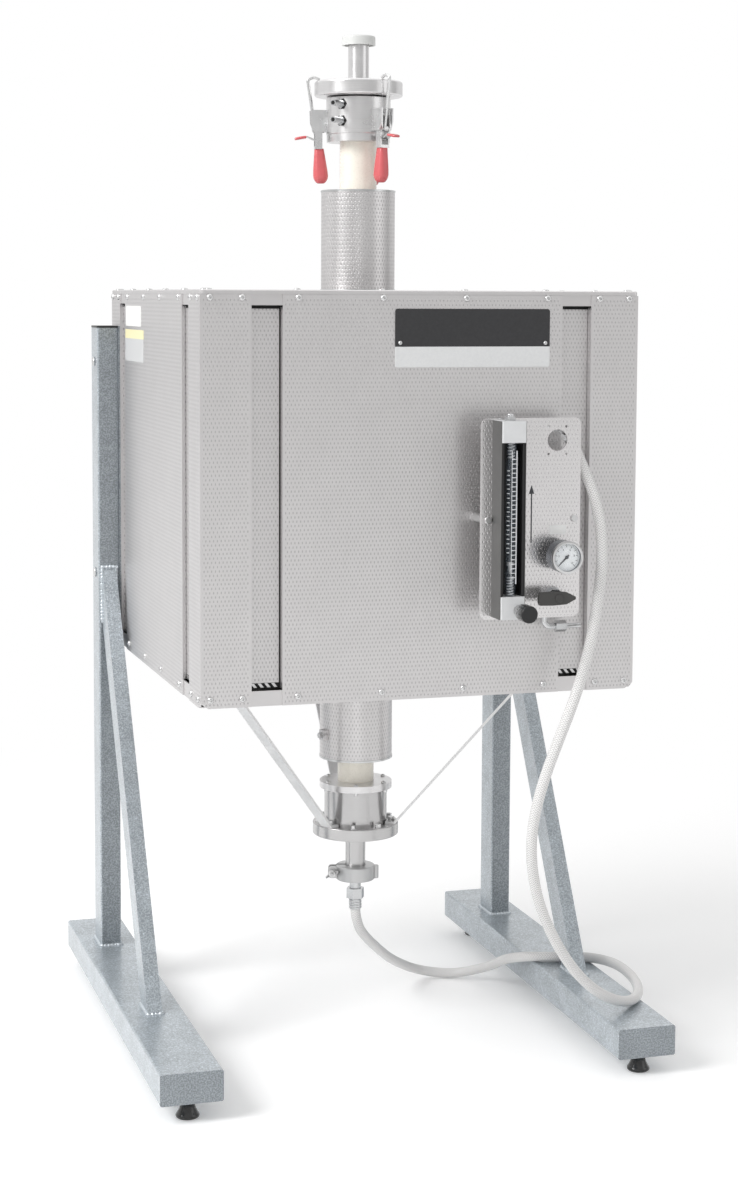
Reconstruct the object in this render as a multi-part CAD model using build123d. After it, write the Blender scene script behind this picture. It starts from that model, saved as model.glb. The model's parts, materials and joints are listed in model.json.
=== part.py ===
"""Vertical laboratory tube furnace on a welded floor stand.

The model is drawn about the ceramic tube's axis, with the floor at z = 0, the front
at -Y and +Z up, in millimetres. Every piece is then moved back by AXIS_Y, so that
the origin lies on the floor at the middle of the outline.
"""
from build123d import *
from math import atan2, cos, pi, radians, sin, tan
import os

AXIS_Y = 16.5              # the tube's axis stands this far behind the origin

# ---- housing
HOUSE_W = 570.0
HOUSE_D = 585.0
HOUSE_H = 510.0
HOUSE_Z = 509.0            # underside of the housing above the floor
SHEET = 1.5
BAND_H = 19.0              # smooth band at the top and at the bottom
LIP_H = 5.5                # edge of the top cover over the panels
CORNER_LEG = 64.0          # width of a corner panel on each side
SLOT_W = 39.0              # cooling slot between two panels
FLANGE = 20.0              # depth of a panel's folded edges
AIR_GAP = 31.0             # from the housing's face to the inner casing
COVER_R = 5.0
SHOW_GAP = 0.3             # shadow gap between loose sheets
NOTCH = 11.0               # side of the cut at a corner panel's foot
FRAME_CUT = (16.0, 12.0)   # width and height of the cut behind it
GLANDS_X = (-120.0, -80.0) # cable glands in the rear panel
GLAND_RISE = 50.0
GLAND_NUT = (24.0, 6.0)    # across flats and length
GLAND_R = 10.5
GLAND_L = 22.0
GLAND_BORE = 5.0

# ---- ceramic tube, insulation and heating
TUBE_R = 25.0
TUBE_WALL = 5.0
SLIDE_GAP = 0.3            # loose fit round the tube
RUN_GAP = 0.05             # radial clearance of pins, shafts and spigots
SLEEVE_R = 50.0
UPPER_SLEEVE_L = 135.0
LOWER_SLEEVE_L = 132.7
CHAMBER_R = 90.0
CHAMBER_END = 95.0         # insulation above and below the chamber
HEATERS = 4
HEATER_R = 3.0
HEATER_COLD_R = 6.0
HEATER_PCR = 62.0
HEATER_HALF = 18.0         # half the distance between the legs of one heater
PROBE_R = 4.0
PROBE_HEAD_R = 9.0
TUBE_CLEAR = 3.0           # holes round the tube
SLEEVE_LUG = (6.0, 12.0, 14.0)    # reach, width and height of the lower sleeve's lug
SLEEVE_LUG_RISE = 28.0
SLEEVE_LUG_ANGLE = 196.0

# ---- stand
FOOT_H = 25.0
RAIL_T = 2.5               # mounting rail between housing and post
BEAM_W = 80.0
BEAM_H = 40.0
BEAM_WALL = 3.0
BEAM_FRONT = 318.5         # front end before the tube's axis
BEAM_L = 695.0
BEAM_R = 3.0
POST_W = 30.0
POST_D = 50.0
POST_INSET = 11.5          # from the housing's back to the post's
POST_DROP = 51.0           # from the housing's top to the post's
POST_WALL = 2.5
BRACE_W = 20.0
BRACE_D = 40.0
BRACE_FRONT = 92.5         # lower end's front edge before the tube's axis
BRACE_TOP = 622.0
FOOT_INSET = 27.0
FOOT_R = 15.0
FOOT_TOP_R = 10.5
FOOT_STUD_R = 5.0
FOOT_NUT_H = 6.0
STAND_BOLT_R = 4.0
STAND_BOLT_HEAD = (6.8, 3.0)
STAND_NUT = (6.5, 6.0)
STAND_BOLT_RISE = 103.5    # lower bolts above the housing's underside
STAND_BOLT_DROP = 51.0     # upper bolts under the post's top

# ---- heads on the tube's ends
HEAD_R = 43.4
RING_H = 9.9               # clamping ring under the upper head
UPPER_CLEAR = 64.4         # bare tube over the upper sleeve
HEAD_H = 49.2
SEAM = 1.5                 # gap that the lid's seal holds open
LID_R = 59.5
LID_H = 20.5
LID_ROUND = 3.0
TUBE_INSET = 15.5          # the tube ends this far inside the upper head
TUBE_REST = 14.5           # and stands on this much of the lower head
TUBE_SEAL_R = 2.35
SEAL_R = 2.5
LID_SEAL_PCR = 36.0
PORT_R = 14.0
PORT_BORE = 12.0
UPPER_PORT_L = 55.8
KF_R = 20.0
KF_RIM = 2.8
CAP_R = 22.5
CAP_H = 12.5
CAP_SKIRT = 7.5
LOWER_CLEAR = 33.1         # bare tube under the lower sleeve
LOWER_DISC_H = 9.0
LOWER_DISC_R = 50.0
LOWER_BODY_H = 48.7
LOWER_FLANGE_H = 16.5
LOWER_PORT_L = 56.0
NIPPLE_ANGLE = 222.0
NIPPLE_RISE = (16.7, 38.9)  # above the head's underside
NIPPLE_R = 4.0
NIPPLE_TIP = 65.0
NIPPLE_BORE = 2.3
NIPPLE_DEPTH = 9.0         # how far a nipple is screwed in
GLAND_NOSE = 1.7           # clamping ring's nose on the tube seal

# ---- toggle latches; pairs are distance from the head's side, height from its underside
LATCHES = 3
LATCH_ANGLE = 170.0
LATCH_HALF = 10.0          # half the width of the base
LATCH_SHEET = 2.0
LEVER_HALF = 7.5
LEVER_PIVOT = (12.1, 23.7)
HOOK_PIVOT = (15.4, 5.7)
CATCH_PIVOT = (11.1, -7.3)
LATCH_PIN_R = 2.0
CATCH_PIN_R = 1.3
HOOK_WIRE_R = 2.2
EYE_R = 4.0
CATCH_HALF = 4.8
GRIP_TOP = -19.6
GRIP_LOW = -55.5
GRIP_TIP = -64.9
HOOK_OUT = 9.5             # corner of the hook wire outside the lid
LEVER_BACK = 6.1
LEVER_SIDE = [(7.6, 28.2), (16.6, 28.2), (18.4, 23.7), (19.2, 7.7), (16.1, 0.2)]
CHEEK_TOP = (22.1, 32.4)
CHEEK_BEND = (21.4, 15.3)
CHEEK_LOW = (16.8, 3.3)

# ---- straps from the lower flange to the housing
STRAPS = 3
STRAP_ANGLE = 90.0
STRAP_W = 20.0
STRAP_T = 3.0
STRAP_FOOT = 57.0          # where the slope leaves the flange
STRAP_HEAD = 246.0         # where the slope meets the housing
STRAP_LUG = 20.0

# ---- clamp and hose adapter under the lower port
CLAMP_R = 27.0
CLAMP_H = 20.0
CLAMP_ANGLE = 163.0
CLAMP_SPLIT = 5.0
EAR_REACH = 38.0
EAR_T = 6.0
EAR_BOLT_R = 2.5
WING_HUB_R = 5.5
ADAPTER_NECK_R = 8.0
ADAPTER_NUT_R = 11.0
ADAPTER_NUT_H = 14.0
ADAPTER_L = 37.0           # from the port's face to the start of the hose
HOSE_R = 7.0

# ---- gas panel before the housing; places are from the plate's lower left corner
PLATE_LEFT = 58.0          # plate's left edge from the tube's axis
PLATE_RISE = 103.5         # plate's lower edge above the housing's underside
PLATE_W = 132.0
PLATE_H = 250.0
PLATE_T = 2.0
PLATE_OFF = 44.0           # clear depth behind the plate
PLATE_CORNER = 9.0
STANDOFF_INSET = (9.9, 8.0)
STANDOFF_RISE = 124.0
STANDOFF_R = 6.0
STANDOFF_STUD_R = 2.5
STANDOFF_HEAD = (4.5, 2.6)
METER_LEFT = 15.5
METER_RISE = 3.8
METER_W = 31.0
METER_H = 244.0
METER_DEPTH = 34.0
METER_TOP_H = 26.3
METER_FOOT_H = 28.4
METER_WALL = 3.5
GLASS_R = 7.0
GLASS_BORE = 5.0
GLASS_SEAT = 6.0           # the glass stands this deep in the blocks
FLOAT_RISE = 55.7          # float's foot above the meter's
FLOAT_H = 15.0
KNOB_SIDE = 23.5           # knob's axis from the meter's left side
KNOB_RISE = 11.2
KNOB_R = 10.7
KNOB_L = 23.0
KNOB_FRONT = 71.0          # knob's front before the plate
KNOB_SHAFT_R = 3.0
KNOB_COLLAR_R = 7.0
GAUGE_SIDE = 100.4
GAUGE_RISE = 79.3
GAUGE_R = 20.0
GAUGE_DEPTH = 24.0
GAUGE_STEM_R = 6.0
GAUGE_STEM_L = 16.0
VALVE_SIDE = 6.4           # valve's axis to the left of the gauge's
VALVE_DROP = 51.8          # and under it
VALVE_R = 10.0
VALVE_DEPTH = 24.0
VALVE_STEM_R = 3.0
LEVER_T = 5.0
LEVER_SHAPE = [(-27, 5), (-25, 8.2), (-8, 8.6), (10, 7.6), (22, 1.6)]    # upper half, from its left end
HOLE_SIDE = 100.7
HOLE_DROP = 28.2           # hole's centre under the plate's upper edge
HOLE_R = 13.2
HOLE_SCREWS = (11.8, 17.0)
INLET_DROP = 42.0          # inlet stub under the valve's axis
INLET_REACH = 10.0         # and its end outside the plate
INLET_STUB_L = 20.0
INLET_NUT = (13.0, 14.0)   # across flats and length
INLET_R = 3.0
PIPE_R = 4.0
PIPE_BEND = 8.0
MANIFOLD = 15.0
FITTING_Y = 18.0           # centre of the pipes behind the plate

# Centre line of the hose, from the adapter over the floor and the right beam, then up
# to the outlet fitting behind the gas panel.
HOSE_SIDE = 5.5            # hose's end from the plate's right edge
HOSE_DROP = 25.3           # and under the flow meter's top
HOSE_LOW = [
    (0, 0, 176), (0, 0, 162), (2, 2.3, 148.4), (6, 6.9, 135.8), (11.8, 13.5, 124.9),
    (21, 24, 113), (37, 42.5, 96), (60, 69, 73.5), (84, 96, 52), (109.7, 124.7, 34),
    (129.1, 140.5, 22), (152.7, 148.6, 13), (177.7, 148.2, 8), (201.1, 139.2, 8.5),
    (220, 122.8, 16), (232.1, 100.9, 26.5), (236.5, 77.5, 37), (236.5, 60, 45.5), (236.5, 41, 54.5),
    (241.2, 17.5, 64), (254.7, -3.3, 71), (275.5, -17.1, 72.8), (300, -22, 72.2),
    (324.5, -26.9, 72.2), (345.3, -40.7, 72.2), (359.1, -61.5, 72.2), (364, -86, 72.2),
    (364, -110, 72.2), (361.5, -135, 72.2), (356.5, -160, 72.2),
]
HOSE_CLIMB = [
    (348.5, -186, 72.2), (337, -210, 72.2), (320, -232, 73), (298.5, -248, 77.5), (273.5, -258, 88), (247, -264, 105.5),
    (221, -271, 131), (197, -281, 162), (176, -291, 196), (158, -301.5, 231), (145, -312, 267),
    (136.5, -322, 303), (133.5, -331.5, 340), (137, -340, 378), (145.5, -347, 416),
    (157, -352.5, 452.5), (170, -356, 488), (182, -357.5, 522), (192.5, -357, 556),
    (201.5, -355, 590), (209, -351.5, 624), (215, -347.5, 658), (218.8, -343.5, 691),
    (219, -338.5, 721), (216, -333, 748), (209.5, -328, 773), (201, -323.5, 796),
    (192.5, -320.5, 816), (184.5, -318.5, 835),
]

os.makedirs("parts", exist_ok=True)

HOUSE_TOP = HOUSE_Z + HOUSE_H
HALF_W = HOUSE_W / 2
HALF_D = HOUSE_D / 2
BEAM_TOP = FOOT_H + BEAM_H
BEAM_X = HALF_W + RAIL_T + POST_W / 2
POST_FRONT = HALF_D - POST_INSET - POST_D
POST_TOP = HOUSE_TOP - POST_DROP
STAND_BOLT_Z = [HOUSE_Z + STAND_BOLT_RISE, POST_TOP - STAND_BOLT_DROP]
RING_Z = HOUSE_TOP + UPPER_SLEEVE_L + UPPER_CLEAR
HEAD_Z = RING_Z + RING_H
HEAD_TOP = HEAD_Z + HEAD_H
LID_Z = HEAD_TOP + SEAM
LID_TOP = LID_Z + LID_H
PORT_TOP = LID_TOP + UPPER_PORT_L
TUBE_TOP = HEAD_TOP - TUBE_INSET
NIPPLE_Z = [HEAD_Z + rise for rise in NIPPLE_RISE]
LOWER_DISC_Z = HOUSE_Z - LOWER_SLEEVE_L - LOWER_CLEAR - LOWER_DISC_H
LOWER_BODY_Z = LOWER_DISC_Z - LOWER_BODY_H
TUBE_BOTTOM = LOWER_BODY_Z + TUBE_REST
LOWER_FLANGE_Z = LOWER_BODY_Z - LOWER_FLANGE_H
PORT_FACE = LOWER_FLANGE_Z - LOWER_PORT_L
ADAPTER_Z = PORT_FACE - ADAPTER_L
PLATE_X = (PLATE_LEFT, PLATE_LEFT + PLATE_W)
PLATE_Z = (HOUSE_Z + PLATE_RISE, HOUSE_Z + PLATE_RISE + PLATE_H)
PLATE_Y = -HALF_D - PLATE_OFF          # the plate's back face
PLATE_FACE = PLATE_Y - PLATE_T
PIPE_Y = PLATE_Y + FITTING_Y
STANDOFFS = [(x, PLATE_Z[0] + STANDOFF_RISE)
             for x in (PLATE_X[0] + STANDOFF_INSET[0], PLATE_X[1] - STANDOFF_INSET[1])]
METER_X = (PLATE_X[0] + METER_LEFT, PLATE_X[0] + METER_LEFT + METER_W)
METER_Z = (PLATE_Z[0] + METER_RISE, PLATE_Z[0] + METER_RISE + METER_H)
FLOAT_Z = METER_Z[0] + FLOAT_RISE
KNOB_X = METER_X[0] + KNOB_SIDE
KNOB_Z = METER_Z[0] + KNOB_RISE
GAUGE_X = PLATE_X[0] + GAUGE_SIDE
GAUGE_Z = PLATE_Z[0] + GAUGE_RISE
VALVE_X = GAUGE_X - VALVE_SIDE
VALVE_Z = GAUGE_Z - VALVE_DROP
HOLE_X = PLATE_X[0] + HOLE_SIDE
HOLE_Z = PLATE_Z[1] - HOLE_DROP
INLET_Z = VALVE_Z - INLET_DROP
INLET_END = PLATE_X[1] + INLET_REACH


def save(name, *solids):
    """Write one node, moved so that the origin is the middle of the outline."""
    shape = solids[0] if len(solids) == 1 else Compound(children=list(solids))
    export_step(Pos(0, AXIS_Y, 0) * shape, f"parts/{name}.step")


def block(x0, x1, y0, y1, z0, z1):
    """A box between two corners."""
    middle = Pos((x0 + x1) / 2, (y0 + y1) / 2, (z0 + z1) / 2)
    return middle * Box(abs(x1 - x0), abs(y1 - y0), abs(z1 - z0))


def disc(radius, z0, z1, x=0, y=0):
    """An upright cylinder."""
    return Pos(x, y, (z0 + z1) / 2) * Cylinder(radius, z1 - z0)


def tube(outer, inner, z0, z1, x=0, y=0):
    """An upright tube."""
    return disc(outer, z0, z1, x, y) - disc(inner, z0 - 1, z1 + 1, x, y)


def along_y(radius, y0, y1, x=0, z=0):
    """A cylinder that lies front to back."""
    return Pos(x, (y0 + y1) / 2, z) * Rot(90, 0, 0) * Cylinder(radius, abs(y1 - y0))


def along_x(radius, x0, x1, y=0, z=0):
    """A cylinder that lies from side to side."""
    return Pos((x0 + x1) / 2, y, z) * Rot(0, 90, 0) * Cylinder(radius, abs(x1 - x0))


def radial_slab(points, t0, t1):
    """A slab whose outline lies in the radial plane, between two tangential distances."""
    face = Plane.XZ * make_face(Polyline(*points, close=True))
    return Pos(0, t1, 0) * extrude(face, t1 - t0)


def turned(points):
    """A ring or disc from half of its section, as pairs of radius and height."""
    return revolve(Plane.XZ * make_face(Polyline(*points, close=True)), Axis.Z)


def seal(mean_r, section_r, z):
    """A round seal ring."""
    return Pos(0, 0, z) * Torus(mean_r, section_r)


def hexagon(across, length):
    """A hexagonal bar along Z from the origin."""
    return extrude(RegularPolygon(across / 2, 6, major_radius=False), length)


# ------------------------------------------------------------------ housing
def pan(width):
    """A panel with folded side edges; its face is the plane y = 0, seen from -Y."""
    z0, z1 = HOUSE_Z, HOUSE_TOP - LIP_H - SHOW_GAP
    sheet = block(-width / 2, width / 2, 0, SHEET, z0, z1)
    for side in (-1, 1):
        edge = side * width / 2
        sheet += block(edge, edge - side * SHEET, 0, FLANGE,
                       HOUSE_Z + BAND_H + SHEET, HOUSE_TOP - BAND_H - SHEET)
    return sheet


def corner_panel():
    """One corner panel, with the housing's front left corner at the origin."""
    z0, z1 = HOUSE_Z, HOUSE_TOP - LIP_H - SHOW_GAP
    low, high = HOUSE_Z + BAND_H + SHEET, HOUSE_TOP - BAND_H - SHEET
    shell = block(0, CORNER_LEG, 0, SHEET, z0, z1) + block(0, SHEET, 0, CORNER_LEG, z0, z1)
    shell += block(CORNER_LEG - SHEET, CORNER_LEG, 0, FLANGE, low, high)
    shell += block(0, FLANGE, CORNER_LEG - SHEET, CORNER_LEG, low, high)
    notch = Pos(0, 0, z0) * Rot(0, 0, 45) * Rot(0, 45, 0) * Box(NOTCH, 4 * NOTCH, NOTCH)
    return shell - notch


def housing():
    """Frame sheets and panels of the double-walled housing."""
    band_w, band_d = HALF_W - SHEET, HALF_D - SHEET
    in_w, in_d = band_w - SHEET, band_d - SHEET
    hole_r = TUBE_R + TUBE_CLEAR

    floor = block(-band_w, band_w, -band_d, band_d, HOUSE_Z, HOUSE_Z + BAND_H)
    floor -= block(-in_w, in_w, -in_d, in_d, HOUSE_Z + SHEET, HOUSE_Z + BAND_H + 1)
    for sx in (-1, 1):
        for sy in (-1, 1):
            floor -= Pos(sx * band_w, sy * band_d, HOUSE_Z) * Box(FRAME_CUT[0], FRAME_CUT[0], FRAME_CUT[1])
    save("bottom_frame", floor - disc(hole_r, HOUSE_Z - 1, HOUSE_Z + 5))

    lip = block(-HALF_W, HALF_W, -HALF_D, HALF_D, HOUSE_TOP - LIP_H, HOUSE_TOP)
    lip = fillet(lip.edges().filter_by(Axis.Z), COVER_R)
    lip = chamfer(lip.faces().sort_by(Axis.Z)[-1].edges(), 1.2)
    cover = lip + block(-band_w, band_w, -band_d, band_d, HOUSE_TOP - BAND_H, HOUSE_TOP - LIP_H)
    cover -= block(-in_w, in_w, -in_d, in_d, HOUSE_TOP - BAND_H - 1, HOUSE_TOP - SHEET)
    save("top_cover", cover - disc(hole_r, HOUSE_TOP - 5, HOUSE_TOP + 1))

    front = Pos(0, -HALF_D, 0) * pan(HOUSE_W - 2 * (CORNER_LEG + SLOT_W))
    save("front_panel", front)
    rear_panel = Rot(0, 0, 180) * front
    for x in GLANDS_X:
        rear_panel += Pos(x, HALF_D, HOUSE_Z + GLAND_RISE) * Rot(-90, 0, 0) * cable_gland()
    save("rear_panel", rear_panel)
    side = Pos(0, -HALF_W, 0) * pan(HOUSE_D - 2 * (CORNER_LEG + SLOT_W))
    save("side_panels", Rot(0, 0, 90) * side, Rot(0, 0, -90) * side)

    left = Pos(-HALF_W, -HALF_D, 0) * corner_panel()
    right = mirror(left, Plane.YZ)
    rear = [cut_bolts(mirror(piece, Plane.XZ)) for piece in (left, right)]
    save("corner_panels", left, right, *rear)


def cable_gland():
    """A cable gland, screwed in along +Z."""
    across, nut_l = GLAND_NUT
    gland = turned([(0, nut_l), (GLAND_R, nut_l), (GLAND_R, GLAND_L - 6),
                    (0.7 * GLAND_R, GLAND_L), (0, GLAND_L)])
    return gland + hexagon(across, nut_l) - disc(GLAND_BORE, nut_l, GLAND_L + 1)


def inner_casing():
    """Inner casing, insulation, heating elements and temperature probe."""
    out_w, out_d = HALF_W - AIR_GAP, HALF_D - AIR_GAP
    z0, z1 = HOUSE_Z + SHEET, HOUSE_TOP - SHEET
    in_w, in_d = out_w - SHEET, out_d - SHEET
    hole_r = TUBE_R + TUBE_CLEAR
    casing = block(-out_w, out_w, -out_d, out_d, z0, z1)
    casing -= block(-in_w, in_w, -in_d, in_d, z0 + SHEET, z1 - SHEET)
    casing -= disc(hole_r, z0 - 1, z1 + 1)
    probe_z = HOUSE_Z + HOUSE_H / 2
    casing -= along_y(PROBE_R + SLIDE_GAP, in_d - 1, out_d + 1, 0, probe_z)
    save("inner_casing", casing)

    low, high = z0 + SHEET, z1 - SHEET
    chamber_low, chamber_high = HOUSE_Z + CHAMBER_END, HOUSE_TOP - CHAMBER_END
    brick = block(-in_w, in_w, -in_d, in_d, low, high) - disc(hole_r, low - 1, high + 1)
    brick -= disc(CHAMBER_R, chamber_low, chamber_high)
    brick -= along_y(PROBE_R + SLIDE_GAP, 0, in_d + 1, 0, probe_z)
    heaters = []
    cold_top = high - 20
    for index in range(HEATERS):
        turn = Rot(0, 0, 45 + index * 360 / HEATERS)
        low_z = chamber_low + 25
        path = Plane.YZ * FilletPolyline((-HEATER_HALF, chamber_high), (-HEATER_HALF, low_z),
                                         (HEATER_HALF, low_z), (HEATER_HALF, chamber_high),
                                         radius=HEATER_HALF - 0.1)
        start = Plane(origin=path @ 0, z_dir=path % 0)
        loop = Pos(HEATER_PCR, 0, 0) * sweep(start * Circle(HEATER_R), path)
        for side in (-1, 1):
            loop += disc(HEATER_COLD_R, chamber_high, cold_top, HEATER_PCR, side * HEATER_HALF)
            brick -= turn * disc(HEATER_COLD_R + SLIDE_GAP, chamber_high - 1, cold_top,
                                 HEATER_PCR, side * HEATER_HALF)
        heaters.append(turn * loop)
    save("insulation_body", brick)
    save("heating_elements", *heaters)

    sheath = along_y(PROBE_R, TUBE_R + PROBE_R, out_d, 0, probe_z)
    save("thermocouple", sheath + along_y(PROBE_HEAD_R, out_d, HALF_D - SHEET - SLIDE_GAP, 0, probe_z))


def sleeves():
    """Guard sleeves round the tube, over and under the housing."""
    end_hole = TUBE_R + SLIDE_GAP
    upper_top = HOUSE_TOP + UPPER_SLEEVE_L
    upper = tube(SLEEVE_R, SLEEVE_R - SHEET, HOUSE_TOP, upper_top)
    save("upper_sleeve", upper + tube(SLEEVE_R - SHEET, end_hole, upper_top - SHEET, upper_top))
    lower_end = HOUSE_Z - LOWER_SLEEVE_L
    lower = tube(SLEEVE_R, SLEEVE_R - SHEET, lower_end, HOUSE_Z)
    lower += tube(SLEEVE_R - SHEET, end_hole, lower_end, lower_end + SHEET)
    reach, width, height = SLEEVE_LUG
    low = lower_end + SLEEVE_LUG_RISE
    lug = block(SLEEVE_R - SHEET / 3, SLEEVE_R + reach, -width / 2, width / 2, low, low + height)
    lower += Rot(0, 0, SLEEVE_LUG_ANGLE) * lug
    save("lower_sleeve", lower - disc(SLEEVE_R - SHEET, lower_end + 2 * SHEET, HOUSE_Z - SHEET))


# ------------------------------------------------------------------ stand
def cut_bolts(shape):
    """Holes for the bolts through the posts and the rear corner panels."""
    y = POST_FRONT + POST_D / 2
    for z in STAND_BOLT_Z:
        shape -= along_x(STAND_BOLT_R + RUN_GAP, -BEAM_X - POST_W, BEAM_X + POST_W, y, z)
    return shape


def stand():
    """Beams, posts, braces, feet and bolts of the floor stand."""
    front, back = -BEAM_FRONT, BEAM_L - BEAM_FRONT
    post_back = POST_FRONT + POST_D
    foot_y = (front + FOOT_INSET, back - FOOT_INSET)
    plugs = []
    braces = []
    rails = []
    bolts = []
    for name, side in (("left", -1), ("right", 1)):
        x = side * BEAM_X
        beam = block(x - BEAM_W / 2, x + BEAM_W / 2, front, back, FOOT_H, BEAM_TOP)
        beam = fillet(beam.edges().filter_by(Axis.Y), BEAM_R)
        inner_w = BEAM_W / 2 - BEAM_WALL
        beam -= block(x - inner_w, x + inner_w, front + BEAM_WALL, back - BEAM_WALL,
                      FOOT_H + BEAM_WALL, BEAM_TOP - BEAM_WALL)
        for y in foot_y:
            beam -= disc(FOOT_STUD_R + RUN_GAP, FOOT_H - 1, FOOT_H + 2 * BEAM_WALL, x, y)
        save(f"{name}_foot_beam", beam)

        post = block(x - POST_W / 2, x + POST_W / 2, POST_FRONT, post_back, BEAM_TOP, POST_TOP)
        post = fillet(post.edges().filter_by(Axis.Z), BEAM_R)
        half, wall = POST_W / 2 - POST_WALL, POST_WALL
        post -= block(x - half, x + half, POST_FRONT + wall, post_back - wall,
                      BEAM_TOP - 1, POST_TOP + 1)
        save(f"{name}_post", cut_bolts(post))
        plugs.append(block(x - half, x + half, POST_FRONT + wall, post_back - wall,
                           POST_TOP - 12, POST_TOP - 3))

        rail_x = side * HALF_W
        rail = block(rail_x, x - side * POST_W / 2, POST_FRONT, post_back,
                     HOUSE_Z + BAND_H, POST_TOP)
        rails.append(cut_bolts(rail))

        slope = atan2(BRACE_TOP - BEAM_TOP, POST_FRONT + BRACE_FRONT)
        foot = BRACE_D / sin(slope)
        drop = BRACE_D / cos(slope)
        brace = brace_outline(x, BRACE_W / 2, -BRACE_FRONT, -BRACE_FRONT + foot,
                              BRACE_TOP, BRACE_TOP - drop)
        skin, rise = 2.0 / sin(slope), 2.0 / cos(slope)
        brace -= brace_outline(x, BRACE_W / 2 - 2.0, -BRACE_FRONT + skin,
                               -BRACE_FRONT + foot - skin, BRACE_TOP - rise, BRACE_TOP - drop + rise)
        braces.append(brace)

        y = POST_FRONT + POST_D / 2
        outer = x + side * POST_W / 2
        for z in STAND_BOLT_Z:
            inner = side * (HALF_W - SHEET)
            bolt = along_x(STAND_BOLT_R, inner - side * (STAND_NUT[1] + 1), outer, y, z)
            head = along_x(STAND_BOLT_HEAD[0], outer, outer + side * STAND_BOLT_HEAD[1], y, z)
            bolts.append(bolt + fillet(head.edges(), 0.4 * STAND_BOLT_HEAD[1]))
            nut = along_x(STAND_NUT[0], inner - side * STAND_NUT[1], inner, y, z)
            bolts.append(nut - along_x(STAND_BOLT_R + RUN_GAP, 0, side * HALF_W, y, z))
    save("post_end_plugs", *plugs)
    save("braces", *braces)
    save("mounting_rails", *rails)
    save("stand_bolts", *bolts)

    for row, y in (("front", foot_y[0]), ("rear", foot_y[1])):
        for name, side in (("left", -1), ("right", 1)):
            save(f"levelling_foot_{row}_{name}", Pos(side * BEAM_X, y, 0) * levelling_foot())


def brace_outline(x, half, foot_front, foot_back, top_front, top_back):
    """A sloping bar between the beam's top and the post's front."""
    points = [(foot_front, BEAM_TOP), (foot_back, BEAM_TOP),
              (POST_FRONT, top_back), (POST_FRONT, top_front)]
    face = Plane.YZ * make_face(Polyline(*points, close=True))
    return Pos(x - half, 0, 0) * extrude(face, 2 * half)


def levelling_foot():
    """A levelling foot with its lock nut and threaded stud."""
    cone_h = FOOT_H - FOOT_NUT_H
    profile = [(0, 0), (FOOT_R - 1, 0), (FOOT_R, 1), (FOOT_R, 4), (FOOT_TOP_R, cone_h),
               (0, cone_h)]
    foot = turned(profile)
    foot += Pos(0, 0, cone_h) * hexagon(2 * FOOT_TOP_R - 3, FOOT_NUT_H)
    return foot + disc(FOOT_STUD_R, cone_h, BEAM_TOP - BEAM_WALL - 6)


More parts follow.
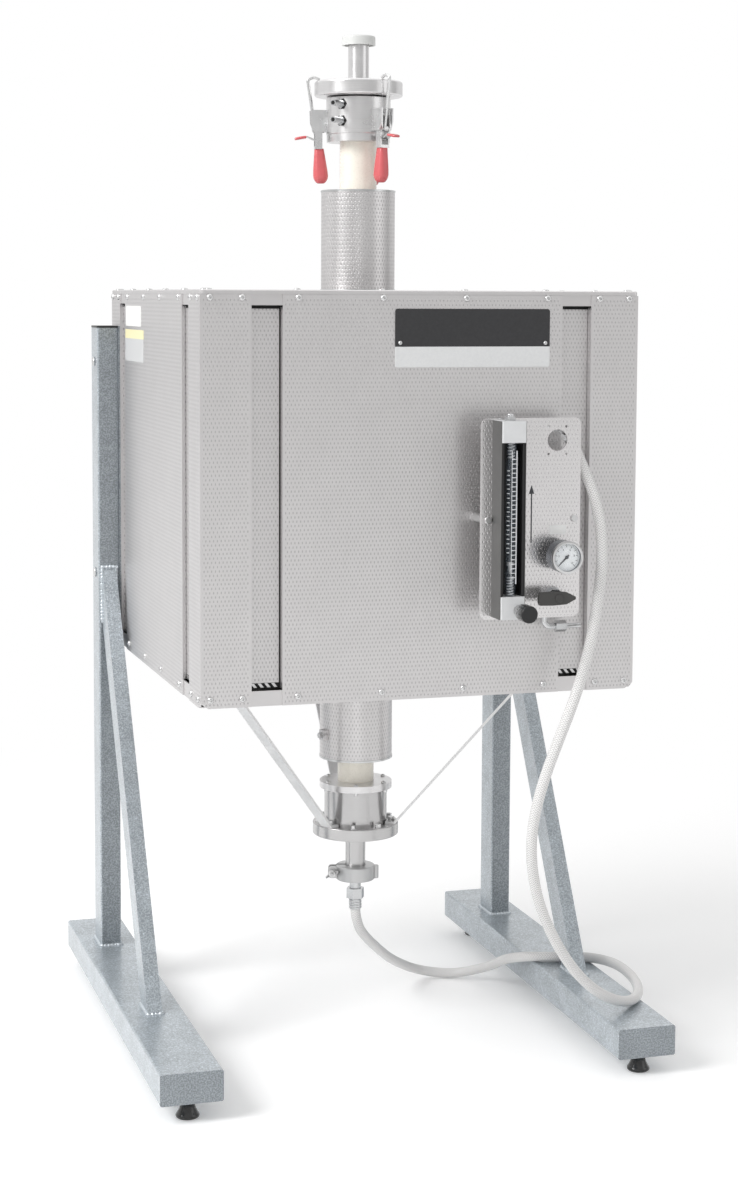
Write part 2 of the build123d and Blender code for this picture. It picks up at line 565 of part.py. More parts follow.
# ------------------------------------------------------------------ tube and heads
def upper_head():
    """Clamping ring, head, lid, seals and port cap on the tube's upper end."""
    slide = TUBE_R + SLIDE_GAP
    gland_r = TUBE_R + SLIDE_GAP + 2 * TUBE_SEAL_R + RUN_GAP
    nose_top = HEAD_Z + GLAND_NOSE
    seal_z = nose_top + TUBE_SEAL_R
    gland_top = nose_top + 2 * TUBE_SEAL_R

    head = disc(HEAD_R, HEAD_Z, HEAD_TOP) - disc(gland_r, HEAD_Z - 1, gland_top)
    head -= disc(slide, HEAD_Z - 1, TUBE_TOP)
    head -= disc(TUBE_R - TUBE_WALL, TUBE_TOP - 1, HEAD_TOP + 1)
    groove = tube(LID_SEAL_PCR + SEAL_R + RUN_GAP, LID_SEAL_PCR - SEAL_R - RUN_GAP,
                  LID_Z - 2 * SEAL_R, HEAD_TOP + 5)
    head = chamfer((head - groove).edges().filter_by(GeomType.CIRCLE)
                   .filter_by(lambda e: abs(e.radius - HEAD_R) < 0.01), 0.8)
    turn = Rot(0, 0, NIPPLE_ANGLE)
    for z in NIPPLE_Z:
        head -= turn * along_x(NIPPLE_R + RUN_GAP, HEAD_R - NIPPLE_DEPTH, HEAD_R + NIPPLE_R, 0, z)
    save("upper_head_body", head)

    ring = tube(HEAD_R - 0.6, slide, RING_Z, HEAD_Z) + tube(gland_r - RUN_GAP, slide, HEAD_Z, nose_top)
    lower_ring = tube(LOWER_DISC_R, slide, LOWER_DISC_Z, LOWER_DISC_Z + LOWER_DISC_H)
    lower_ring += tube(gland_r - RUN_GAP, slide, LOWER_DISC_Z - GLAND_NOSE, LOWER_DISC_Z)
    save("clamp_rings", ring, lower_ring)

    lid = disc(LID_R, LID_Z, LID_TOP)
    lid = fillet(lid.edges(), LID_ROUND)
    lid += disc(PORT_R, LID_TOP, PORT_TOP) + kf_flange(PORT_TOP, -1)
    save("lid", lid - disc(PORT_BORE, LID_Z - 1, PORT_TOP + 1))

    cap_top = PORT_TOP + CAP_H - CAP_SKIRT
    cap = disc(CAP_R, cap_top - CAP_H, cap_top)
    cap = fillet(cap.faces().sort_by(Axis.Z)[-1].edges(), 2.5)
    save("port_cap", cap - disc(KF_R + RUN_GAP, PORT_TOP - CAP_H, PORT_TOP))

    lower_gland = LOWER_DISC_Z - GLAND_NOSE - TUBE_SEAL_R
    save("seal_rings",
         seal(TUBE_R + SLIDE_GAP + TUBE_SEAL_R, TUBE_SEAL_R, seal_z),
         seal(LID_SEAL_PCR, SEAL_R, LID_Z - SEAL_R),
         seal(TUBE_R + SLIDE_GAP + TUBE_SEAL_R, TUBE_SEAL_R, lower_gland),
         seal(LID_SEAL_PCR, SEAL_R - 0.3, LOWER_BODY_Z + SEAL_R - 0.3))

    nipples = []
    for z in NIPPLE_Z:
        shank = along_x(NIPPLE_R, HEAD_R - NIPPLE_DEPTH, NIPPLE_TIP, 0, z)
        collar = Pos(HEAD_R, 0, z) * Rot(0, 90, 0) * hexagon(2 * NIPPLE_R + 3, 4)
        collar -= disc(HEAD_R + RUN_GAP, z - HEAD_H, z + HEAD_H)
        bore = along_x(NIPPLE_BORE, HEAD_R - NIPPLE_DEPTH + 1, NIPPLE_TIP + 1, 0, z)
        nipples.append(turn * (shank + collar - bore))
    save("cooling_nipples", *nipples)


def kf_flange(face_z, side):
    """A tapered clamping flange whose sealing face is at face_z; side is where its neck is."""
    taper = (KF_R - PORT_R) * tan(radians(15))
    heights = [face_z, face_z + side * KF_RIM, face_z + side * (KF_RIM + taper)]
    return turned([(0, heights[0]), (KF_R, heights[0]), (KF_R, heights[1]),
                   (PORT_R, heights[2]), (0, heights[2])])


def lower_head():
    """Head, flange and port on the tube's lower end, with the straps that hold them."""
    slide = TUBE_R + SLIDE_GAP
    gland_r = TUBE_R + SLIDE_GAP + 2 * TUBE_SEAL_R + RUN_GAP
    gland_low = LOWER_DISC_Z - GLAND_NOSE - 2 * TUBE_SEAL_R
    body = disc(HEAD_R, LOWER_BODY_Z, LOWER_DISC_Z) - disc(gland_r, gland_low, LOWER_DISC_Z + 1)
    body -= disc(slide, TUBE_BOTTOM, LOWER_DISC_Z + 1)
    body -= disc(TUBE_R - TUBE_WALL, LOWER_BODY_Z - 1, TUBE_BOTTOM + 1)
    groove_h = 2 * SEAL_R - 0.6
    body -= tube(LID_SEAL_PCR + SEAL_R, LID_SEAL_PCR - SEAL_R, LOWER_BODY_Z - 1, LOWER_BODY_Z + groove_h)
    save("lower_head_body", body)

    flange = disc(LID_R, LOWER_FLANGE_Z, LOWER_BODY_Z)
    flange = fillet(flange.edges(), 1.5)
    flange += disc(PORT_R, PORT_FACE, LOWER_FLANGE_Z) + kf_flange(PORT_FACE, 1)
    save("lower_flange", flange - disc(PORT_BORE, PORT_FACE - 1, LOWER_BODY_Z + 1))

    straps = []
    low, high = LOWER_BODY_Z, HOUSE_Z
    points = [(HEAD_R + 1, low), (STRAP_FOOT + 1, low), (STRAP_HEAD + 2, high - STRAP_T),
              (STRAP_HEAD + STRAP_LUG, high - STRAP_T), (STRAP_HEAD + STRAP_LUG, high),
              (STRAP_HEAD, high), (STRAP_FOOT - 1, low + STRAP_T), (HEAD_R + 1, low + STRAP_T)]
    strap = radial_slab(points, -STRAP_W / 2, STRAP_W / 2)
    strap -= disc(HEAD_R + 0.5, low - 1, high)
    for index in range(STRAPS):
        straps.append(Rot(0, 0, STRAP_ANGLE + index * 360 / STRAPS) * strap)
    save("flange_straps", *straps)

    save("work_tube", tube(TUBE_R, TUBE_R - TUBE_WALL, TUBE_BOTTOM, TUBE_TOP))


def latch(index):
    """Base, lever, hook and safety catch of one toggle latch."""
    turn = Rot(0, 0, LATCH_ANGLE + index * 360 / LATCHES)

    def place(out, rise):
        return HEAD_R + out, HEAD_Z + rise

    def outline(points):
        return [place(out, rise) for out, rise in points]

    def pin(x, z, radius, half):
        return along_y(radius, -half, half, x, z)

    (px, pz), (hx, hz), (cx, cz) = place(*LEVER_PIVOT), place(*HOOK_PIVOT), place(*CATCH_PIVOT)
    low, high = CHEEK_LOW[1], CHEEK_TOP[1]
    cheek = outline([(-1, high), CHEEK_TOP, CHEEK_BEND, CHEEK_LOW, (-1, low)])
    base = radial_slab(cheek, LATCH_HALF - LATCH_SHEET, LATCH_HALF)
    base += radial_slab(cheek, -LATCH_HALF, LATCH_SHEET - LATCH_HALF)
    base += block(HEAD_R - LATCH_SHEET, HEAD_R + 1.5 * LATCH_SHEET, -LATCH_HALF, LATCH_HALF,
                  HEAD_Z + low, HEAD_Z + high)
    base += pin(px, pz, LATCH_PIN_R, LATCH_HALF + 1)
    base -= disc(HEAD_R + RUN_GAP, RING_Z, LID_TOP)

    front, shoulder = LEVER_SIDE[-1][0], LEVER_SIDE[0][1] - 9.5
    side = outline([*LEVER_SIDE, (front, GRIP_TOP), (LEVER_BACK, GRIP_TOP), (LEVER_BACK, shoulder)])
    inner = LEVER_HALF - LATCH_SHEET
    back, grip_z = HEAD_R + LEVER_BACK, HEAD_Z + GRIP_TOP
    lever = radial_slab(side, inner, LEVER_HALF) + radial_slab(side, -LEVER_HALF, -inner)
    lever += block(back, back + LATCH_SHEET, -LEVER_HALF, LEVER_HALF, grip_z, HEAD_Z - 2.3)
    lever += block(back, back + 10, -LEVER_HALF, LEVER_HALF, grip_z, grip_z + 4)
    lever -= pin(px, pz, LATCH_PIN_R + RUN_GAP, LATCH_HALF)
    lever += pin(hx, hz, LATCH_PIN_R, inner) + pin(cx, cz, CATCH_PIN_R, inner)
    grip = loft([Plane(origin=(back + 3.7, 0, grip_z)) * RectangleRounded(11.2, 12.5, 3.5),
                 Plane(origin=(back + 1.5, 0, HEAD_Z + GRIP_LOW)) * RectangleRounded(19.4, 17.0, 6.5),
                 Plane(origin=(back + 1.5, 0, HEAD_Z + GRIP_TIP)) * RectangleRounded(7.5, 8.0, 3.5)],
                ruled=True)

    path = Plane.XZ * FilletPolyline((hx, hz), (LID_R + HOOK_OUT, LID_TOP + 2.1),
                                     (LID_R + 1.5, LID_TOP + 5.5), (LID_R - 7.1, LID_TOP + 2.5),
                                     radius=[3.4, 6.0])
    hook = sweep(Plane(origin=path @ 0, z_dir=path % 0) * Circle(HOOK_WIRE_R), path)
    hook += pin(hx, hz, EYE_R, 3.4)
    hook -= pin(hx, hz, LATCH_PIN_R + RUN_GAP, LATCH_HALF)

    wave = [(0, -1.3), (6, -0.9), (10.5, 1.2), (15.5, 3.4), (21.5, 2.4), (30, 0.6), (30.7, 2.4),
            (21.5, 4.6), (15.5, 5.2), (10, 3.2), (5.5, 1.5), (0, 1.3)]
    catch = radial_slab([(cx + out, cz + rise) for out, rise in wave], -CATCH_HALF, CATCH_HALF)
    catch += pin(cx, cz, 2 * CATCH_PIN_R, CATCH_HALF)
    catch -= pin(cx, cz, CATCH_PIN_R + RUN_GAP, LATCH_HALF)

    number = index + 1
    save(f"latch_lever_{number}", turn * lever, turn * grip)
    save(f"latch_hook_{number}", turn * hook)
    save(f"latch_catch_{number}", turn * catch)
    return turn * base


def bottom_port():
    """Clamp, wing nut and hose adapter under the lower flange."""
    z0 = PORT_FACE - CLAMP_H / 2
    z1 = PORT_FACE + CLAMP_H / 2
    taper = (KF_R - PORT_R) * tan(radians(15))
    rim, neck = KF_RIM + SLIDE_GAP, KF_RIM + taper + SLIDE_GAP
    inner = PORT_R + SLIDE_GAP
    clamp = turned([(CLAMP_R, z0), (CLAMP_R, z1), (inner, z1), (inner, PORT_FACE + neck),
                    (KF_R + SLIDE_GAP, PORT_FACE + rim), (KF_R + SLIDE_GAP, PORT_FACE - rim),
                    (inner, PORT_FACE - neck), (inner, z0)])
    clamp = chamfer(clamp.edges().filter_by(GeomType.CIRCLE)
                    .filter_by(lambda e: abs(e.radius - CLAMP_R) < 0.01), 1.0)
    half = CLAMP_SPLIT / 2
    ear = block(CLAMP_R - 3, EAR_REACH, half, half + EAR_T, z0 + 2, z1 - 2)
    ear = fillet(ear.edges().filter_by(Axis.Y).group_by(Axis.X)[-1], 5)
    clamp = clamp + ear + mirror(ear, Plane.XZ)
    clamp -= block(0, EAR_REACH + 1, -half, half, z0 - 1, z1 + 1)
    hinge_r = CLAMP_R + 1.5
    clamp += disc(4.0, z0 + 1, z1 - 1, -hinge_r, 0)
    clamp -= block(-CLAMP_R - 20, -hinge_r, -0.4, 0.4, z0 - 1, z1 + 1)
    bolt_x = EAR_REACH - 6.0
    clamp += along_y(EAR_BOLT_R, -half - EAR_T - 3, half + EAR_T + 16, bolt_x, PORT_FACE)
    turn = Rot(0, 0, CLAMP_ANGLE)
    save("port_clamp", turn * clamp)

    face = half + EAR_T
    hub = Pos(bolt_x, face, PORT_FACE) * Rot(-90, 0, 0) * Cone(WING_HUB_R, 4.2, 9,
                                                              align=(Align.CENTER, Align.CENTER, Align.MIN))
    wing = [(2.0, 1.5), (5.5, 3.0), (9.0, 8.5), (9.5, 13.0), (7.5, 14.0), (4.5, 9.0), (2.0, 8.5)]
    wings = Plane.XY * make_face(Polyline(*wing, close=True))
    wings = Pos(0, 0, -1.2) * extrude(wings, 2.4)
    for flip in (0, 180):
        hub += Pos(bolt_x, face, PORT_FACE) * Rot(0, 25 + flip, 0) * wings
    hub -= along_y(EAR_BOLT_R + RUN_GAP, face - 1, face + 20, bolt_x, PORT_FACE)
    save("wing_nut", turn * hub)

    adapter = kf_flange(PORT_FACE, -1)
    adapter += disc(ADAPTER_NECK_R, ADAPTER_Z + ADAPTER_NUT_H, PORT_FACE - 3)
    adapter += Pos(0, 0, ADAPTER_Z) * hexagon(2 * ADAPTER_NUT_R, ADAPTER_NUT_H)
    save("hose_adapter", adapter - disc(4.5, ADAPTER_Z + 2, PORT_FACE + 1))


# ------------------------------------------------------------------ gas panel
def gas_panel():
    """Plate with flow meter, gauge, valve and the fittings behind it."""
    x0, x1 = PLATE_X
    z0, z1 = PLATE_Z
    plate = block(x0, x1, PLATE_FACE, PLATE_Y, z0, z1)
    plate = fillet(plate.edges().filter_by(Axis.Y), PLATE_CORNER)
    plate -= along_y(HOLE_R, PLATE_FACE - 1, PLATE_Y + 1, HOLE_X, HOLE_Z)
    for side in (-1, 1):
        for rise in (-1, 1):
            plate -= along_y(1.6, PLATE_FACE - 1, PLATE_Y + 1, HOLE_X + side * HOLE_SCREWS[0],
                             HOLE_Z + rise * HOLE_SCREWS[1])
    for x, z in STANDOFFS:
        plate -= along_y(STANDOFF_STUD_R + RUN_GAP, PLATE_FACE - 1, PLATE_Y + 1, x, z)
    meter_x = (METER_X[0] + METER_X[1]) / 2
    foot_z = METER_Z[0] + METER_FOOT_H / 2
    head_z = METER_Z[1] - METER_TOP_H / 2
    ports = ((meter_x, foot_z), (meter_x, head_z), (VALVE_X, VALVE_Z), (GAUGE_X, GAUGE_Z))
    for x, z in ports:
        plate -= along_y(PIPE_R + RUN_GAP, PLATE_FACE - 1, PLATE_Y + 1, x, z)
    save("gas_panel_plate", plate)

    posts = []
    for x, z in STANDOFFS:
        post = along_y(STANDOFF_R, PLATE_Y, -HALF_D, x, z)
        head = along_y(STANDOFF_HEAD[0], PLATE_FACE - STANDOFF_HEAD[1], PLATE_FACE, x, z)
        post += along_y(STANDOFF_STUD_R, PLATE_FACE, PLATE_Y, x, z) + fillet(head.edges(), 1.0)
        posts.append(post)
    save("panel_standoffs", *posts)

    front = PLATE_FACE - METER_DEPTH
    low_top = METER_Z[0] + METER_FOOT_H
    high_low = METER_Z[1] - METER_TOP_H
    glass_y = front + GLASS_R + METER_WALL
    blocks = []
    for bottom, top in ((METER_Z[0], low_top), (high_low, METER_Z[1])):
        piece = block(METER_X[0], METER_X[1], front, PLATE_FACE, bottom, top)
        piece = fillet(piece.edges().filter_by(Axis.Z), 1.2)
        blocks.append(piece)
    low_seat, high_seat = low_top - GLASS_SEAT, high_low + GLASS_SEAT
    blocks[0] -= disc(GLASS_R + RUN_GAP, low_seat, low_top + 1, meter_x, glass_y)
    blocks[1] -= disc(GLASS_R + RUN_GAP, high_low - 1, high_seat, meter_x, glass_y)
    shaft_l = 4 * KNOB_SHAFT_R
    blocks[0] -= along_y(KNOB_SHAFT_R + RUN_GAP, front - 1, front + shaft_l + 2, KNOB_X, KNOB_Z)
    save("flow_meter_blocks", *blocks)

    channel = block(METER_X[0], METER_X[1], front + METER_WALL - 0.5, PLATE_FACE, low_top, high_low)
    channel -= block(METER_X[0] + METER_WALL, METER_X[1] - METER_WALL, front,
                     PLATE_FACE - METER_WALL + 0.5, low_top - 1, high_low + 1)
    save("flow_meter_channel", channel)
    save("flow_meter_tube", tube(GLASS_R, GLASS_BORE, low_seat, high_seat, meter_x, glass_y))

    float_r = GLASS_BORE - SLIDE_GAP
    profile = [(0, 0), (1.4, 0), (float_r * 0.6, 4), (float_r * 0.6, FLOAT_H - 5),
               (float_r, FLOAT_H - 4), (float_r, FLOAT_H), (0, FLOAT_H)]
    save("flow_float", Pos(meter_x, glass_y, FLOAT_Z) * turned(profile))

    knob_front = PLATE_FACE - KNOB_FRONT
    knob_back = knob_front + KNOB_L
    knob = along_y(KNOB_R, knob_front, knob_back, KNOB_X, KNOB_Z)
    knob = chamfer(knob.edges().filter_by(GeomType.CIRCLE), 0.8)
    for index in range(12):
        angle = radians(index * 30)
        knob -= along_y(0.9, knob_front + 3, knob_back - 3,
                        KNOB_X + KNOB_R * cos(angle), KNOB_Z + KNOB_R * sin(angle))
    knob += along_y(KNOB_COLLAR_R, knob_back, front - SHOW_GAP, KNOB_X, KNOB_Z)
    knob += along_y(KNOB_SHAFT_R, front - SHOW_GAP, front + shaft_l, KNOB_X, KNOB_Z)
    save("metering_knob", knob)

    valve_front = PLATE_FACE - VALVE_DEPTH
    valve = along_y(VALVE_R, PLATE_FACE - 16, PLATE_FACE, VALVE_X, VALVE_Z)
    valve += Pos(VALVE_X, PLATE_FACE, VALVE_Z) * Rot(90, 0, 0) * hexagon(22, 8)
    valve += along_y(6, valve_front, PLATE_FACE - 16, VALVE_X, VALVE_Z)
    valve += along_y(VALVE_STEM_R, valve_front - LEVER_T - 1.5, valve_front, VALVE_X, VALVE_Z)
    save("shutoff_valve", valve)
    outline = LEVER_SHAPE + [(x, -z) for x, z in reversed(LEVER_SHAPE)]
    lever = extrude(Plane.XZ * make_face(Polyline(*outline, close=True)), LEVER_T)
    lever = Pos(VALVE_X, valve_front - SHOW_GAP, VALVE_Z) * lever
    save("valve_lever", lever - along_y(VALVE_STEM_R + RUN_GAP, valve_front - 4 * LEVER_T,
                                        valve_front + 1, VALVE_X, VALVE_Z))

    case_back = PLATE_FACE - GAUGE_STEM_L
    case_front = case_back - GAUGE_DEPTH
    case = along_y(GAUGE_R, case_front, case_back, GAUGE_X, GAUGE_Z)
    case = fillet(case.edges().filter_by(GeomType.CIRCLE), 1.5)
    case -= along_y(GAUGE_R - 2.5, case_front - 1, case_front + 5, GAUGE_X, GAUGE_Z)
    case += along_y(GAUGE_STEM_R, case_back, PLATE_FACE, GAUGE_X, GAUGE_Z)
    case += along_y(1.0, case_front + 2.5, case_front + 5, GAUGE_X, GAUGE_Z)
    save("gauge_case", case)
    hand = [(-0.9, -4), (0.9, -4), (1.2, 0), (0.3, 14), (-0.3, 14), (-1.2, 0)]
    needle = extrude(Plane.XZ * make_face(Polyline(*hand, close=True)), 0.6)
    needle = Rot(0, -135, 0) * needle
    needle += along_y(2.2, 0, -0.8) - along_y(2.3, -0.9, -0.81)
    needle = Pos(GAUGE_X, case_front + 4.4, GAUGE_Z) * needle
    save("gauge_needle", needle - along_y(1.0 + RUN_GAP, case_front, case_front + 6, GAUGE_X, GAUGE_Z))

    gas_fittings(meter_x, foot_z, head_z)


def bent_pipe(radius, bend, *points):
    """A pipe along straight runs joined by arcs."""
    path = FilletPolyline(*points, radius=bend)
    return sweep(Plane(origin=path @ 0, z_dir=path % 0) * Circle(radius), path)


def gas_fittings(meter_x, foot_z, head_z):
    """Manifold, pipes and connectors behind the plate."""
    half = MANIFOLD / 2
    left, right = VALVE_X - half, GAUGE_X + half
    low, high = foot_z - half, VALVE_Z + half
    manifold = block(left, right, PIPE_Y - half, PIPE_Y + half, low, high)
    manifold = chamfer(manifold.edges().filter_by(Axis.Z), 1.5)
    manifold += along_y(PIPE_R, PLATE_FACE, PIPE_Y, VALVE_X, VALVE_Z)
    feed = bent_pipe(PIPE_R, PIPE_BEND, (meter_x, PLATE_FACE, foot_z), (meter_x, PIPE_Y, foot_z),
                     (left, PIPE_Y, foot_z))
    gauge_pipe = bent_pipe(PIPE_R, PIPE_BEND, (GAUGE_X, PIPE_Y, high), (GAUGE_X, PIPE_Y, GAUGE_Z),
                           (GAUGE_X, PLATE_FACE, GAUGE_Z))
    nut_across, nut_l = INLET_NUT
    nut_end = INLET_END - INLET_STUB_L
    inlet = bent_pipe(PIPE_R, PIPE_BEND, (VALVE_X, PIPE_Y, low), (VALVE_X, PIPE_Y, INLET_Z),
                      (nut_end - nut_l / 2, PIPE_Y, INLET_Z))
    inlet += Pos(nut_end - nut_l, PIPE_Y, INLET_Z) * Rot(0, 90, 0) * hexagon(nut_across, nut_l)
    inlet += along_x(INLET_R, nut_end, INLET_END, PIPE_Y, INLET_Z)

    route = hose_route()
    end, before = route[-1], route[-2]
    heading = (end - before).normalized()
    corner = end + heading * ((head_z - end.Z) / heading.Z)
    elbow = Pos(corner.X, corner.Y, corner.Z) * Box(MANIFOLD, MANIFOLD, MANIFOLD)
    elbow = chamfer(elbow.edges().filter_by(Axis.Y), 2.0)
    elbow += Plane(origin=end, z_dir=heading) * hexagon(2 * HOSE_R + 3, (corner - end).length)
    outlet = elbow + bent_pipe(PIPE_R, PIPE_BEND, (meter_x, PLATE_FACE, head_z),
                               (meter_x, corner.Y, head_z), (corner.X - half, corner.Y, head_z))
    save("gas_fittings", manifold, feed, gauge_pipe, inlet, outlet)


def hose_route():
    """The hose's points, with the drop fitted to the adapter and the climb to the gas panel."""
    start = Vector(0, 0, ADAPTER_Z)
    end = Vector(PLATE_X[1] - HOSE_SIDE, PIPE_Y, METER_Z[1] - HOSE_DROP)
    first, last = Vector(*HOSE_LOW[0]), Vector(*HOSE_CLIMB[-1])
    low = HOSE_CLIMB[0][2]
    points = []
    for point in HOSE_LOW:
        share = max(0.0, (point[2] - low) / (first.Z - low))
        points.append(Vector(*point) + (start - first) * share)
    for point in HOSE_CLIMB:
        share = (point[2] - low) / (last.Z - low)
        points.append(Vector(*point) + (end - last) * share)
    return points


def hose():
    """The braided gas hose, as straight runs joined by arcs."""
    route = hose_route()
    radii = []
    for before, here, after in zip(route, route[1:], route[2:]):
        first, second = here - before, after - here
        turn = first.get_angle(second)
        radii.append(0.45 * min(first.length, second.length) / tan(radians(turn / 2)))
    path = FilletPolyline(*route, radius=radii)
    solid = sweep(Plane(origin=path @ 0, z_dir=path % 0) * Circle(HOSE_R), path)
    ratio = solid.volume / (path.length * pi * HOSE_R ** 2)
    print("hose length", round(path.length), "tightest", round(min(radii)), "volume ratio", round(ratio, 4))
    save("gas_hose", solid)


housing()
inner_casing()
sleeves()
stand()
upper_head()
lower_head()
save("latch_bases", *[latch(index) for index in range(LATCHES)])
bottom_port()
gas_panel()
hose()
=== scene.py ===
import json
import random
from math import cos, pi, radians, sin

import bmesh
import bpy
from bpy.props import FloatProperty, FloatVectorProperty, PointerProperty
from mathutils import Matrix, Vector


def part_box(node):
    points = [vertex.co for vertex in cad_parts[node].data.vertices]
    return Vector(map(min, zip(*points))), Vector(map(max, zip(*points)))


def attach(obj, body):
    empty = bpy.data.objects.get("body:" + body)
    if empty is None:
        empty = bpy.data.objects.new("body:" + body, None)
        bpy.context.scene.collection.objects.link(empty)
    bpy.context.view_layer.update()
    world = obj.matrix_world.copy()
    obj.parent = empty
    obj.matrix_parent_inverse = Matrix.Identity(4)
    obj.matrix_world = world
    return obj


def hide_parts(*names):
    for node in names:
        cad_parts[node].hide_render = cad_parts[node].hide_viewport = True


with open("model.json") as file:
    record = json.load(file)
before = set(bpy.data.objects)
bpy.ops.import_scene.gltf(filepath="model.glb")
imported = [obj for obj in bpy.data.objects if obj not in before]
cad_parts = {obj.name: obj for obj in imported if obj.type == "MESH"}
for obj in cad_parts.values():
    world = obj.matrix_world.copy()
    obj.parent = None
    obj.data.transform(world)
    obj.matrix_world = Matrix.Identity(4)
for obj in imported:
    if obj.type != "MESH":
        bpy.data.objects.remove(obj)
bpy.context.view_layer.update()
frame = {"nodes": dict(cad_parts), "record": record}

bl_info = {
    "name": "Vertical Tube Furnace",
    "version": (1, 0, 0),
    "blender": (4, 5, 0),
    "location": "View3D > Sidebar > Furnace",
    "description": "Finishes, fasteners, signs and stage for a vertical laboratory tube furnace",
    "category": "Object",
}

MM = 0.001
AXIS_Y = sum(corner.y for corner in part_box("work_tube")) / 2
ORIGIN = Vector((0, AXIS_Y, 0)) / MM

# The hose's points in the row frame, in metres, from the adapter to the outlet elbow.
HOSE_ROUTE = [
    (0, .0165, .176), (0, .0165, .162), (.002, .0188, .1484), (.006, .0234, .1358),
    (.0118, .03, .1249), (.021, .0405, .113), (.037, .059, .096), (.06, .0855, .0735),
    (.084, .1125, .052), (.1097, .1412, .034), (.1291, .157, .022), (.1527, .1651, .013),
    (.1777, .1647, .008), (.2011, .1557, .0085), (.22, .1393, .016), (.2321, .1174, .0265),
    (.2365, .094, .037), (.2365, .0765, .0455), (.2365, .0575, .0545), (.2412, .034, .064),
    (.2547, .0132, .071), (.2755, -.0006, .0728), (.3, -.0055, .0722), (.3245, -.0104, .0722),
    (.3453, -.0242, .0722), (.3591, -.045, .0722), (.364, -.0695, .0722), (.364, -.0935, .0722),
    (.3615, -.1185, .0722), (.3565, -.1435, .0722), (.3485, -.1695, .0722), (.337, -.1935, .0722),
    (.32, -.2155, .073), (.2985, -.2315, .0775), (.2735, -.2415, .088), (.247, -.2475, .1055),
    (.221, -.2545, .131), (.197, -.2645, .162), (.176, -.2745, .196), (.158, -.285, .231),
    (.145, -.2955, .267), (.1365, -.3055, .303), (.1335, -.315, .34), (.137, -.3235, .378),
    (.1455, -.3305, .416), (.157, -.336, .4525), (.17, -.3395, .488), (.182, -.341, .522),
    (.1925, -.3405, .556), (.2015, -.3385, .59), (.209, -.335, .624), (.215, -.331, .658),
    (.2188, -.327, .691), (.219, -.322, .721), (.216, -.3165, .748), (.2095, -.3115, .773),
    (.201, -.307, .796), (.1925, -.304, .816), (.1845, -.302, .835),
]


def span(node):
    """Lowest and highest corner of a CAD node, in millimetres from the work tube's foot."""
    low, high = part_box(node)
    return low / MM - ORIGIN, high / MM - ORIGIN


def tone(red, green, blue):
    """A scene colour from display values of 0 to 255."""
    return tuple(((part / 255 + 0.055) / 1.055) ** 2.4 if part > 10 else part / 3294
                 for part in (red, green, blue))


# ------------------------------------------------------------------ shader maths
class Value:
    """A number that varies over a surface. Arithmetic on it adds the Math nodes."""

    def __init__(self, nodes, socket):
        self.nodes = nodes
        self.socket = socket

    def maths(self, operation, *values):
        return self.nodes.node("ShaderNodeMath", {"operation": operation}, dict(enumerate(values)))

    def __add__(self, other):
        return self.maths("ADD", self, other)

    __radd__ = __add__

    def __sub__(self, other):
        return self.maths("SUBTRACT", self, other)

    def __rsub__(self, other):
        return self.maths("SUBTRACT", other, self)

    def __mul__(self, other):
        return self.maths("MULTIPLY", self, other)

    __rmul__ = __mul__

    def __truediv__(self, other):
        return self.maths("DIVIDE", self, other)

    def __mod__(self, other):
        return self.maths("FLOORED_MODULO", self, other)

    def __abs__(self):
        return self.maths("ABSOLUTE", self)

    def __gt__(self, other):
        return self.maths("GREATER_THAN", self, other)

    def at_least(self, other):
        return self.maths("MAXIMUM", self, other)

    def at_most(self, other):
        return self.maths("MINIMUM", self, other)

    def wave(self, pitch):
        """A cosine of the given pitch."""
        return self.maths("COSINE", self * (2 * pi / pitch))

    def ramp(self, low, high):
        """0 below the low limit, 1 above the high one, smooth between."""
        return self.nodes.node("ShaderNodeMapRange", {"interpolation_type": "SMOOTHSTEP"},
                               {"Value": self, "From Min": low, "From Max": high})


class Nodes:
    """The node tree of a finish or of the world."""

    def __init__(self, tree):
        self.tree = tree

    def feed(self, socket, value):
        if isinstance(value, Value):
            self.tree.links.new(value.socket, socket)
        elif hasattr(value, "__len__") and len(value) == 3 and len(socket.default_value) == 4:
            socket.default_value = (*value, 1)
        else:
            socket.default_value = value

    def node(self, kind, settings=None, inputs=None, output=0):
        """A node with its settings made first; gives one output, or several by a tuple."""
        node = self.tree.nodes.new(kind)
        for name, value in (settings or {}).items():
            setattr(node, name, value)
        for name, value in (inputs or {}).items():
            self.feed(node.inputs[name], value)
        if isinstance(output, tuple):
            return [Value(self, node.outputs[name]) for name in output]
        return Value(self, node.outputs[output])

    def mix(self, share, first, second):
        return self.node("ShaderNodeMix", {"data_type": "RGBA"}, {0: share, 6: first, 7: second}, 2)


